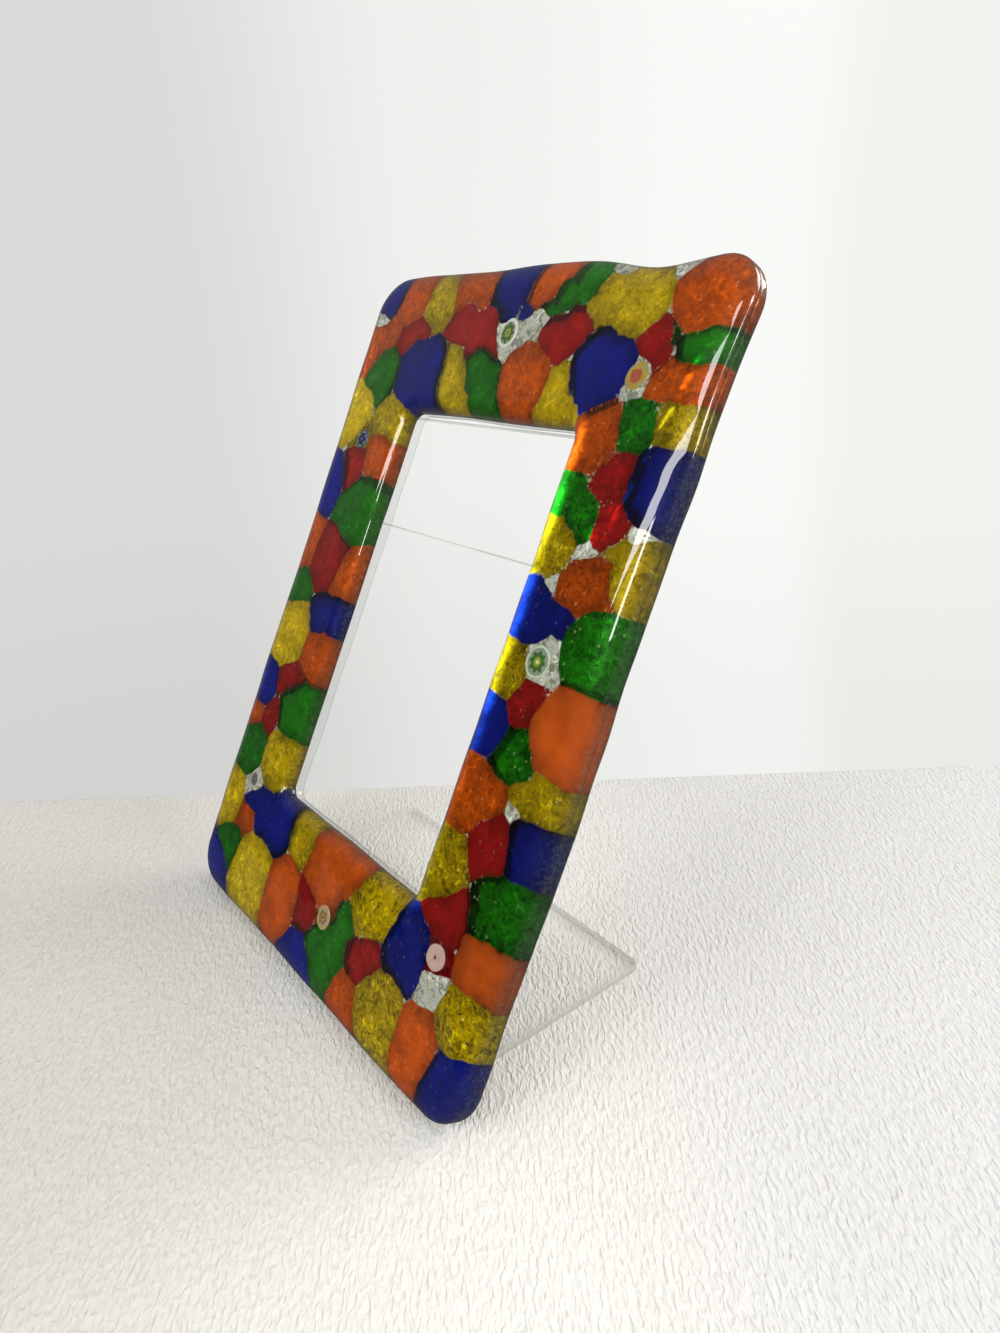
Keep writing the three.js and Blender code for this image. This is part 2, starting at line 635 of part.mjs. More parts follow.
// The larger tiles and the cane slices as pieces of their own, and the small chips fused
// to the base ring that carries them
function mosaic() {
  const tiles = Object.entries(TILES).flatMap(([bar, list]) =>
    list.map((tile) => ({ ...laid(tile), bar })),
  );
  const slices = CANE_SLICES.map((slice) => ({ ...laid(slice), cap: slice.radius }));
  const pieces = [...tiles, ...slices];
  const meshes = [];
  const counts = new Map();
  let base = solidFrom(baseRingGeometry());
  for (const tile of tiles) {
    if (tile.radius < LOOSE_TILE_RADIUS) {
      const chip = mosaicGeometry(tile, pieces, CHIP_RAYS, BASE_FRONT + FUSE_OVERLAP);
      base = base.add(solidFrom(chip));
      continue;
    }
    const kind = `${tile.bar}_${tile.glass}_tile`;
    counts.set(kind, (counts.get(kind) ?? 0) + 1);
    const geometry = mosaicGeometry(tile, pieces, LOOSE_TILE_RAYS, TILE_THICKNESS);
    meshes.push(glassMesh(`${kind}_${counts.get(kind)}`, geometry, GLASS_COLOURS[tile.glass]));
  }
  for (const slice of slices) {
    const geometry = mosaicGeometry(slice, pieces, LOOSE_TILE_RAYS, TILE_THICKNESS);
    meshes.push(glassMesh(slice.name, geometry, CANE_COLOUR));
  }
  meshes.push(clearGlassMesh("base_ring", geometryFrom(base)));
  return meshes;
}

// The strips and the plate that hold the photograph behind the window
function pocket() {
  const sideBottom = POCKET_FLOOR + BOND_GAP;
  const left = spacerGeometry(-PLATE_HALF_WIDTH, -POCKET_HALF_WIDTH, sideBottom, PLATE_TOP);
  const right = spacerGeometry(POCKET_HALF_WIDTH, PLATE_HALF_WIDTH, sideBottom, PLATE_TOP);
  const floor = spacerGeometry(-PLATE_HALF_WIDTH, PLATE_HALF_WIDTH, PLATE_BOTTOM, POCKET_FLOOR);
  const plate = sheetGeometry(
    -PLATE_HALF_WIDTH,
    PLATE_HALF_WIDTH,
    PLATE_BOTTOM,
    PLATE_TOP,
    PLATE_CORNER_RADIUS,
    PLATE_FRONT,
    PLATE_THICKNESS,
  );
  return [
    acrylicMesh("left_spacer", left),
    acrylicMesh("right_spacer", right),
    acrylicMesh("floor_spacer", floor),
    acrylicMesh("pocket_plate", plate),
  ];
}

const slab = new THREE.Group();
slab.add(...mosaic());
slab.rotation.x = -LEAN;
slab.updateMatrixWorld(true);
const lift = -new THREE.Box3().setFromObject(slab, true).min.z;
slab.position.z = lift;
slab.add(...pocket());

const frame = new THREE.Group();
frame.add(slab, acrylicMesh("bent_leg", legGeometry(lift)));
frame.position.y = -(bendCentre(lift).y + FOOT_LENGTH / 2);

const part = new THREE.Group();
part.add(frame);

export default part;
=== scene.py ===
import logging
import math
from collections.abc import Callable
from dataclasses import dataclass, field
from enum import Enum

import bpy
import numpy as np
from mathutils import Matrix, Vector


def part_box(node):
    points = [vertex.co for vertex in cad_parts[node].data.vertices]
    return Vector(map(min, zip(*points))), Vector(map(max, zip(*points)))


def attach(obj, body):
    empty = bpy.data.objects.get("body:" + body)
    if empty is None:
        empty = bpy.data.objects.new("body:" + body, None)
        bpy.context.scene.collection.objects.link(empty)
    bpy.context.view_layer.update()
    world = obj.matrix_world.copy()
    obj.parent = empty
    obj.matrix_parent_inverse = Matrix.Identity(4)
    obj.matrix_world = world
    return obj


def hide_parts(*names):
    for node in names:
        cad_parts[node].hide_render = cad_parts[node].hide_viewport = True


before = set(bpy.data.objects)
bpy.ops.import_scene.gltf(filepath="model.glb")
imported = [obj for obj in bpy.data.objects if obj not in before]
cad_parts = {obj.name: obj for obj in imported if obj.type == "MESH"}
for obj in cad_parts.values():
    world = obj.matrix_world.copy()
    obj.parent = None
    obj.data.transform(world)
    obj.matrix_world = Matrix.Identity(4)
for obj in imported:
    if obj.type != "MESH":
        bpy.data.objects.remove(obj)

Array = np.ndarray
MM = 0.001
log = logging.getLogger("picture_frame")


class Glass(Enum):
    """The glasses that the mosaic is cut from."""

    CLEAR = 0
    ORANGE = 1
    RED = 2
    BLUE = 3
    GREEN = 4
    YELLOW = 5


COLOURED = (Glass.ORANGE, Glass.RED, Glass.BLUE, Glass.GREEN, Glass.YELLOW)

Circle = tuple[float, float, float]


@dataclass(frozen=True)
class Piece:
    """One cut piece of glass: the circles (across, up, radius) that its shape grows from.

    Foil runs from none to a full crinkled sheet. Lap is where a neighbour's edge lies under
    the piece and darkens it: the side that it comes from, as long as the lap is wide. Shade
    makes the piece paler than its glass's usual tone, or deeper where it is negative; it is
    partly the piece's own tone and partly painted light and shade.
    """

    glass: Glass
    circles: tuple[Circle, ...]
    foil: float = 0.3
    lap: tuple[float, float] = (0.0, 0.0)
    shade: float = 0.0


def cut(glass: Glass, *circles: Circle, foil: float = 0.3,
        lap: tuple[float, float] = (0.0, 0.0), shade: float = 0.0) -> Piece:
    """Gives a piece of glass of these circles.

    Args:
        glass: The glass.
        circles: Where it lies: across, up and radius of each circle.
        foil: How much foil lies under it.
        lap: The side and width of a neighbour's edge below it.
        shade: How much paler it is than its glass's usual tone, partly as painted light and shade.

    Returns:
        The piece.
    """
    return Piece(glass, circles, foil, lap, shade)


# A piece's shade is partly its own tone and partly painted light: most pieces of the right bar are
# deepened as painted shade, and some pieces of the other bars are paled.
TOP_BAR = (
    cut(Glass.BLUE, (-62.5, 193.5, 6.2), foil=0.2, shade=1.6, lap=(1.2, -0.4)),
    cut(Glass.ORANGE, (-50, 192, 7.6), (-57, 182.5, 4), foil=0.3),
    cut(Glass.RED, (-46, 181, 5.5), (-40, 181.5, 4), foil=0.2),
    cut(Glass.YELLOW, (-35.5, 190, 7.4), foil=0.5),
    cut(Glass.ORANGE, (-24, 194, 6), (-17, 194.5, 5), foil=0.3),
    cut(Glass.RED, (-21, 184.5, 6), (-12, 182.5, 6.5), (-6, 179, 3.5), foil=0.12,
        lap=(0.4, -0.8)),
    cut(Glass.BLUE, (-4.5, 194.5, 8), (-2.5, 188.5, 3.5), foil=0.12, lap=(-2.4, -0.8)),
    cut(Glass.BLUE, (3.4, 187.6, 2.2), foil=0.2),
    cut(Glass.ORANGE, (6.5, 191.5, 2.6), (10.5, 194.5, 3.8), (15.5, 198, 3.4), foil=0.25,
        lap=(-1.6, 0.6)),
    cut(Glass.GREEN, (13, 188.4, 2.4), (18, 191.5, 4.6), (25, 195.5, 6.4), foil=0.3,
        lap=(-3.2, 0.6)),
    cut(Glass.CLEAR, (11.2, 184.2, 3.4)),
    cut(Glass.CLEAR, (5, 183, 1.6)),
    cut(Glass.RED, (19.5, 180.5, 6), (26, 184, 5.4), foil=0.12, lap=(-0.9, 1.8)),
    cut(Glass.YELLOW, (44, 190, 9.6), (33, 189.5, 6.8), foil=0.45),
    cut(Glass.CLEAR, (34, 200, 3)),
    cut(Glass.CLEAR, (45, 201.4, 3)),
    cut(Glass.CLEAR, (53, 198.6, 3.4)),
    cut(Glass.ORANGE, (63.5, 190.5, 9.6), foil=0.4),
    cut(Glass.GREEN, (66, 180, 6.6), (58.5, 183, 2.4), foil=0.3, lap=(-3.4, 0.3)),
    cut(Glass.RED, (52.4, 180.6, 4.2), (56, 175.5, 2.4), foil=0.2),
    cut(Glass.ORANGE, (66, 171.5, 6.2), (58.5, 171.8, 4), foil=0.5, lap=(-1.2, 0.5)),
    cut(Glass.BLUE, (38, 173.5, 10.2), foil=0.06, lap=(-2.6, 1.6)),
    cut(Glass.YELLOW, (26, 168, 5.6), (29.5, 163, 4.6), foil=0.4),
    cut(Glass.ORANGE, (12, 170, 9), foil=0.4, lap=(0.8, -0.6)),
    cut(Glass.GREEN, (-7.5, 171.5, 6), (-2, 164.5, 6), foil=0.3, lap=(0.2, 1.2)),
    cut(Glass.YELLOW, (-22, 175.5, 3.8), (-17.5, 168, 5), (-12, 161.5, 4.4), foil=0.5,
        lap=(-1.2, -0.4)),
    cut(Glass.BLUE, (-36, 170, 11.6), (-28, 163, 5), foil=0.1, lap=(2.2, -0.6)),
    cut(Glass.GREEN, (-54, 169, 8.2), foil=0.3, lap=(1.6, 0.0)),
    cut(Glass.ORANGE, (-66, 177.5, 7), foil=0.5),
    cut(Glass.CLEAR, (-65, 187.2, 1.9)),
)
LEFT_BAR = (
    cut(Glass.YELLOW, (-64, 157, 9), foil=0.4, shade=2.4),
    cut(Glass.YELLOW, (-42.5, 156, 8), foil=0.6),
    cut(Glass.ORANGE, (-43.5, 145.5, 7), foil=0.3),
    cut(Glass.RED, (-54, 139, 6.6), foil=0.2, lap=(-2.6, 0.6)),
    cut(Glass.BLUE, (-65, 134, 8.5), foil=0.3, shade=3.6),
    cut(Glass.GREEN, (-46, 128.5, 10), foil=0.25, lap=(1.2, 2.4)),
    cut(Glass.ORANGE, (-66, 113, 7.6), foil=0.3),
    cut(Glass.RED, (-52, 111.5, 9.4), foil=0.2, lap=(1.2, 0.4)),
    cut(Glass.ORANGE, (-40, 106.5, 5.4), foil=0.4),
    cut(Glass.GREEN, (-63, 100, 6), foil=0.3),
    cut(Glass.BLUE, (-42, 94, 7.2), foil=0.2, lap=(-0.6, 1.4)),
    cut(Glass.YELLOW, (-60, 85, 10.5), foil=0.4, shade=2.0),
    cut(Glass.ORANGE, (-42, 82.5, 8), foil=0.3, lap=(0.3, -1.0)),
    cut(Glass.RED, (-53, 73, 5), (-46, 74.2, 3), foil=0.3, lap=(0.0, -0.9)),
    cut(Glass.BLUE, (-64, 67, 7), foil=0.3, shade=2.6, lap=(0.8, 0.2)),
    cut(Glass.GREEN, (-42, 64, 9), foil=0.3, lap=(-2.2, 0.6)),
    cut(Glass.ORANGE, (-65, 56.5, 5.4), foil=0.3),
    cut(Glass.RED, (-56.5, 59, 4.4), foil=0.3),
    cut(Glass.GREEN, (-61, 46.5, 8.5), foil=0.4),
    cut(Glass.YELLOW, (-42.5, 48.5, 9.3), foil=0.6, lap=(0.0, -0.6)),
)
BOTTOM_BAR = (
    cut(Glass.YELLOW, (-64, 29, 9), foil=0.5, shade=1.6),
    cut(Glass.BLUE, (-48.5, 33.2, 3), (-40, 32.5, 6.4), (-31.5, 33, 9), foil=0.2, lap=(1.8, -0.9)),
    cut(Glass.ORANGE, (-55, 26, 4), (-49.5, 26.2, 3.6), foil=0.3),
    cut(Glass.GREEN, (-56, 17, 6), foil=0.4),
    cut(Glass.BLUE, (-61, 8.6, 7), foil=0.3, shade=2.2),
    cut(Glass.YELLOW, (-37.5, 13.5, 11.5), foil=0.5, shade=1.4),
    cut(Glass.ORANGE, (-19.5, 16, 10), foil=0.15),
    cut(Glass.YELLOW, (-17.5, 34.5, 5.5), foil=0.6, lap=(-0.8, 0.0)),
    cut(Glass.ORANGE, (0, 32, 10), (9, 36.5, 6.6), foil=0.15),
    cut(Glass.RED, (-5.5, 18, 6), foil=0.2, lap=(-0.2, -1.2)),
    cut(Glass.BLUE, (-2.5, 6, 6.5), foil=0.2, shade=2.2),
    cut(Glass.GREEN, (10, 13.5, 8.5), (15.5, 23.5, 2.6), foil=0.3, lap=(-1.2, 0.6)),
    cut(Glass.YELLOW, (24, 33, 9), foil=0.9, shade=1.6),
    cut(Glass.RED, (28, 22.5, 5), (23.5, 18.5, 4.6), foil=0.2, lap=(-2.6, -0.6)),
    cut(Glass.ORANGE, (23, 8, 5.8), foil=0.4),
    cut(Glass.YELLOW, (37.5, 12, 9.5), foil=0.95, shade=1.2),
    cut(Glass.BLUE, (39.5, 29.8, 8.6), foil=0.3, lap=(-2.0, -1.4)),
    cut(Glass.CLEAR, (52.5, 27, 3.2)),
    cut(Glass.ORANGE, (53, 13.5, 8.4), foil=0.25),
    cut(Glass.YELLOW, (64.5, 25.5, 7), foil=1.0, shade=1.4),
    cut(Glass.BLUE, (65.5, 10.5, 8), foil=0.35, shade=0.6, lap=(-1.6, -0.4)),
)
RIGHT_BAR = (
    cut(Glass.ORANGE, (64.5, 38, 7.6), foil=0.03, shade=-1.6),
    cut(Glass.RED, (49.8, 44, 6.3), foil=0.15, lap=(1.0, 0.2), shade=-0.9),
    cut(Glass.GREEN, (64.8, 52, 9), foil=0.85, shade=1.0, lap=(-3.0, -0.6)),
    cut(Glass.YELLOW, (42.5, 53, 8), foil=0.95, shade=-1.6),
    cut(Glass.RED, (55.5, 63, 7.2), foil=0.25, shade=-0.9),
    cut(Glass.BLUE, (66.5, 66.5, 7.8), foil=0.12, shade=-2.6, lap=(-2.8, 0.6)),
    cut(Glass.ORANGE, (43.5, 71.5, 8), (50.5, 72, 5), foil=0.55, lap=(-1.6, 0.0), shade=-0.9),
    cut(Glass.CLEAR, (58.6, 73.6, 0.3)),
    cut(Glass.YELLOW, (65.5, 77.3, 6.2), (59, 77, 3.4), foil=0.6, shade=-1.6),
    cut(Glass.GREEN, (53.5, 83.5, 6.5), foil=0.85, shade=1.0, lap=(-3.2, 0.0)),
    cut(Glass.ORANGE, (65.5, 93, 10.8), foil=0.0, shade=-1.9),
    cut(Glass.BLUE, (41.5, 88, 6.5), foil=0.25, shade=-1.0),
    cut(Glass.RED, (51.2, 95.8, 5), foil=0.3, shade=-0.9),
    cut(Glass.YELLOW, (41.5, 102, 6.5), foil=1.0, shade=-1.6),
    cut(Glass.GREEN, (65.5, 111, 9.3), foil=0.75, shade=1.0, lap=(0.2, -1.4)),
    cut(Glass.CLEAR, (56.2, 107, 1.6)),
    cut(Glass.BLUE, (43.5, 115.5, 7.4), (52.5, 116.6, 3.4), foil=0.25, shade=-1.0),
    cut(Glass.ORANGE, (54.5, 124.4, 6), (61.5, 125.4, 4.8), foil=0.6, shade=-0.9),
    cut(Glass.CLEAR, (53, 132.2, 0.9)),
    cut(Glass.YELLOW, (68.5, 129.5, 6.4), (62.5, 133, 2.4), foil=0.6, shade=-1.6),
    cut(Glass.YELLOW, (42, 131.5, 7.2), foil=0.9, shade=-1.6),
    cut(Glass.CLEAR, (46.5, 123.4, 1.0)),
    cut(Glass.GREEN, (42, 144, 4.4), (49, 138.8, 5.6), foil=0.95, shade=1.6, lap=(-2.2, 1.2)),
    cut(Glass.RED, (57.8, 139.2, 6.2), foil=0.3, shade=-0.9),
    cut(Glass.RED, (54, 149, 6), foil=0.3, shade=-0.9),
    cut(Glass.BLUE, (67, 148.5, 8.8), foil=0.15, shade=-2.8, lap=(-3.4, 0.0)),
    cut(Glass.CLEAR, (64.5, 138.2, 0.3)),
    cut(Glass.ORANGE, (43.5, 157, 8.2), foil=0.4, lap=(-0.4, 1.8), shade=-0.9),
    cut(Glass.GREEN, (56, 161, 5.4), foil=0.8, shade=1.2),
    cut(Glass.YELLOW, (66, 162, 6.2), foil=0.8, shade=-1.6),
)
LAYOUT = (*TOP_BAR, *LEFT_BAR, *BOTTOM_BAR, *RIGHT_BAR)


# --- Slab and outlines ---------------------------------------------------------------------


@dataclass(frozen=True)
class Slab:
    """The leaning slab: its lean, and where its own axes stand in the row frame."""

    lean: float = math.radians(28)
    plate_bottom: float = 28.5
    plate_top: float = 160.5
    plate_front: float = 11.1
    front_y: float = field(init=False)
    lift: float = field(init=False)

    def __post_init__(self) -> None:
        """Finds the slab's place from the box of the pocket plate, whose place on it is known."""
        low, high = (np.array(corner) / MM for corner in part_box("pocket_plate"))
        sine, cosine = math.sin(self.lean), math.cos(self.lean)
        front_y = low[1] - self.plate_bottom * sine - self.plate_front * cosine
        lift = high[2] - self.plate_top * cosine + self.plate_front * sine
        object.__setattr__(self, "front_y", float(front_y))
        object.__setattr__(self, "lift", float(lift))

    def place(self, across: Array, up: Array, depth: Array) -> Array:
        """Turns slab points into row points: up and depth are turned by the lean about X.

        Args:
            across: Distances across, in millimetres.
            up: Distances up the slab.
            depth: Distances behind the front face.

        Returns:
            Points in metres, one row each.
        """
        sine, cosine = math.sin(self.lean), math.cos(self.lean)
        y = self.front_y + up * sine + depth * cosine
        z = self.lift + up * cosine - depth * sine
        return np.stack([across + 0 * y, y, z], axis=-1) * MM


@dataclass(frozen=True)
class Dent:
    """A soft dent in an outline, placed by shares of the outline's half sizes.

    A negative depth is a bulge.
    """

    across_share: float
    up_share: float
    reach: float
    depth: float


@dataclass(frozen=True)
class Outline:
    """A rounded rectangle about the slab's middle, with the dents that the kiln left."""

    half_width: float
    half_height: float
    radius: float
    dents: tuple[Dent, ...]
    middle: float = 100.0

    def dent(self, across: Array, up: Array) -> Array:
        """Gives how far the dents draw the outline: a sum of Gaussians about their places.

        Args:
            across: Distances across, in millimetres.
            up: Distances up the slab.

        Returns:
            Distances inwards, negative where the outline bulges.
        """
        depth = np.zeros(np.broadcast(across, up).shape)
        for dent in self.dents:
            from_across = across - dent.across_share * self.half_width
            from_up = up - self.middle - dent.up_share * self.half_height
            away = (from_across**2 + from_up**2) / dent.reach**2
            depth = depth + dent.depth * np.exp(-away)
        return depth

    def distance(self, across: Array, up: Array) -> Array:
        """Gives the signed distance to the undented outline, negative inside it.

        Args:
            across: Distances across, in millimetres.
            up: Distances up the slab.

        Returns:
            The distances.
        """
        side = np.abs(across) - self.half_width + self.radius
        end = np.abs(up - self.middle) - self.half_height + self.radius
        outside = np.hypot(np.maximum(side, 0), np.maximum(end, 0))
        return outside + np.minimum(np.maximum(side, end), 0) - self.radius

    def stations(self, corner: int, end_run: int, side_run: int) -> tuple[Array, Array]:
        """Walks round the outline from the right side: four arcs joined by straight runs.

        Args:
            corner: Steps in each quarter arc.
            end_run: Steps in each straight run across.
            side_run: Steps in each straight run up or down.

        Returns:
            The points, dents taken in, and their outward directions, one row each.
        """
        places, directions = [], []
        signs = ((1, 1), (-1, 1), (-1, -1), (1, -1))
        for quarter, (side, end) in enumerate(signs):
            angle = (quarter + np.arange(corner + 1) / corner) * math.pi / 2
            out = np.stack([np.cos(angle), np.sin(angle)], axis=-1)
            centre = np.array(
                [
                    side * (self.half_width - self.radius),
                    self.middle + end * (self.half_height - self.radius),
                ]
            )
            arc = centre + self.radius * out
            next_side, next_end = signs[(quarter + 1) % 4]
            next_centre = np.array(
                [
                    next_side * (self.half_width - self.radius),
                    self.middle + next_end * (self.half_height - self.radius),
                ]
            )
            steps = end_run if quarter % 2 == 0 else side_run
            share = (np.arange(1, steps) / steps)[:, None]
            start, finish = arc[-1], next_centre + self.radius * out[-1]
            places += [arc, start + share * (finish - start)]
            directions += [out, np.repeat(out[-1:], steps - 1, axis=0)]
        place, direction = np.concatenate(places), np.concatenate(directions)
        drawn = self.dent(place[:, 0], place[:, 1])[:, None]
        return place - direction * drawn, direction


OUTER = Outline(
    72, 100, 11,
    (
        Dent(0.6, 1, 12, 1.5), Dent(-0.6, 1, 26, -1.1), Dent(0.1, 1, 24, -2.0),
        Dent(0.93, 1, 12, -1.0), Dent(1, 0.7, 14, 0.9), Dent(1, 0.22, 34, 1.2),
        Dent(1, -0.66, 16, 0.8), Dent(1, -0.96, 12, 0.8), Dent(-1, 0.7, 26, -0.9),
        Dent(-1, -0.3, 30, -0.4), Dent(-0.3, -1, 24, 0.3),
    ),
)
WINDOW = Outline(
    35.5, 59.5, 3.5,
    (
        Dent(0.2, -1, 18, 0.2), Dent(-0.4, 1, 14, -0.5), Dent(1, -0.5, 24, 0.4),
        Dent(-1, 0.0, 40, 0.1),
    ),
)


@dataclass(frozen=True)
class Waves:
    """A smooth wandering field over the slab: a sum of plane waves of about one length."""

    length: float
    seed: int
    count: int = 14

    def height(self, across: Array, up: Array) -> Array:
        """Sums sines of the point along seeded directions.

        Args:
            across: Distances across, in millimetres.
            up: Distances up the slab.

        Returns:
            The sums, most of them between -1 and 1.
        """
        draw = np.random.default_rng(self.seed)
        angle = draw.uniform(0, 2 * math.pi, self.count)
        pitch = 2 * math.pi / (self.length * draw.uniform(0.7, 1.5, self.count))
        phase = draw.uniform(0, 2 * math.pi, self.count)
        total = np.zeros(np.broadcast(across, up).shape)
        for turn, wave, start in zip(angle, pitch, phase):
            along = across * math.cos(turn) + up * math.sin(turn)
            total = total + np.sin(along * wave + start)
        return total * math.sqrt(2 / self.count)


# --- Meshes --------------------------------------------------------------------------------


@dataclass
class Surface:
    """A closed surface of grid points with faces between them, and values on its points."""

    points: Array
    quads: Array
    caps: list[list[int]] = field(default_factory=list)
    values: dict[str, Array] = field(default_factory=dict)

    @classmethod
    def tube(cls, grid: Array, round_rows: bool) -> "Surface":
        """Joins a grid of points into quads, with its last column joined to its first.

        Args:
            grid: Points as rows, columns and three coordinates.
            round_rows: Whether the last row joins the first.

        Returns:
            The surface, with no caps yet.
        """
        rows, columns = grid.shape[:2]
        row = np.arange(rows if round_rows else rows - 1)[:, None]
        column = np.arange(columns)[None, :]
        next_row, next_column = (row + 1) % rows, (column + 1) % columns
        corners = [
            row * columns + column,
            row * columns + next_column,
            next_row * columns + next_column,
            next_row * columns + column,
        ]
        quads = np.stack([np.broadcast_to(c, corners[0].shape) for c in corners], axis=-1)
        return cls(grid.reshape(-1, 3), quads.reshape(-1, 4))

    def volume(self) -> float:
        """Sums the signed volumes of the tetrahedra from the origin to every face.

        Returns:
            The volume, negative where the faces point in.
        """
        a, b, c, d = (self.points[self.quads[:, i]] for i in range(4))
        total = np.einsum("ij,ij->", a, np.cross(b, c)) + np.einsum("ij,ij->", a, np.cross(c, d))
        for cap in self.caps:
            ring = self.points[cap]
            first = ring[:1].repeat(len(ring) - 1, 0)
            total += np.einsum("ij,ij->", np.cross(ring[:-1], ring[1:]), first)
        return float(total) / 6

    def make(self, name: str) -> bpy.types.Object:
        """Puts the surface into a mesh object with its faces pointing out.

        Args:
            name: The object's name.

        Returns:
            The object, linked to the scene at the origin.
        """
        quads, caps = self.quads, self.caps
        if self.volume() < 0:
            quads = quads[:, ::-1]
            caps = [cap[::-1] for cap in caps]
        loops = np.concatenate([quads.reshape(-1), *[np.array(cap) for cap in caps]])
        cap_sizes = [len(cap) for cap in caps]
        sizes = np.concatenate([np.full(len(quads), 4), cap_sizes]).astype(np.int32)
        starts = np.concatenate([[0], np.cumsum(sizes)[:-1]]).astype(np.int32)
        mesh = bpy.data.meshes.new(name)
        mesh.vertices.add(len(self.points))
        mesh.vertices.foreach_set("co", self.points.astype(np.float32).reshape(-1))
        mesh.loops.add(len(loops))
        mesh.loops.foreach_set("vertex_index", loops.astype(np.int32))
        mesh.polygons.add(len(sizes))
        mesh.polygons.foreach_set("loop_start", starts)
        smooth = np.ones(len(sizes), bool)
        smooth[len(quads):] = False
        mesh.polygons.foreach_set("use_smooth", smooth)
        for value_name, value in self.values.items():
            attribute = mesh.attributes.new(value_name, "FLOAT", "POINT")
            attribute.data.foreach_set("value", value.astype(np.float32).reshape(-1))
        mesh.update(calc_edges=True)
        mesh.validate()
        made = bpy.data.objects.new(name, mesh)
        bpy.context.scene.collection.objects.link(made)
        return made


# --- Shader writing ------------------------------------------------------------------------


class Value:
    """A number in a shader. Python's arithmetic on it adds Math nodes."""

    def __init__(self, shader: "Shader", socket: bpy.types.NodeSocket) -> None:
        """Keeps the shader that the number belongs to, and its socket."""
        self.shader, self.socket = shader, socket

    def math(self, operation: str, *others: "Value | float", clamp: bool = False) -> "Value":
        """Adds a Math node.

        Args:
            operation: The node's operation.
            others: The operands after this one.
            clamp: Whether the result is kept between 0 and 1.

        Returns:
            The result.
        """
        settings = {"operation": operation, "use_clamp": clamp}
        inputs = dict(enumerate((self, *others)))
        return Value(self.shader, self.shader.node("ShaderNodeMath", settings, inputs).outputs[0])

    def __add__(self, other: "Value | float") -> "Value":
        """Adds."""
        return self.math("ADD", other)

    __radd__ = __add__

    def __mul__(self, other: "Value | float") -> "Value":
        """Multiplies."""
        return self.math("MULTIPLY", other)

    __rmul__ = __mul__

    def __sub__(self, other: "Value | float") -> "Value":
        """Takes the other away."""
        return self.math("SUBTRACT", other)

    def __rsub__(self, other: float) -> "Value":
        """Takes this away from a number."""
        return self * -1 + other

    def __truediv__(self, other: "Value | float") -> "Value":
        """Divides."""
        return self.math("DIVIDE", other)

    def __pow__(self, other: "Value | float") -> "Value":
        """Raises to a power."""
        return self.math("POWER", other)

    def most(self, other: "Value | float") -> "Value":
        """Gives the larger of the two."""
        return self.math("MAXIMUM", other)

    def share(self) -> "Value":
        """Keeps the number between 0 and 1."""
        return self.math("ADD", 0.0, clamp=True)

    def ramp(self, low: float, high: float) -> "Value":
        """Rises smoothly from 0 to 1.

        Args:
            low: Where the rise starts.
            high: Where it ends.

        Returns:
            The share.
        """
        settings = {"interpolation_type": "SMOOTHSTEP"}
        inputs = {"Value": self, "From Min": low, "From Max": high}
        node = self.shader.node("ShaderNodeMapRange", settings, inputs)
        return Value(self.shader, node.outputs["Result"])


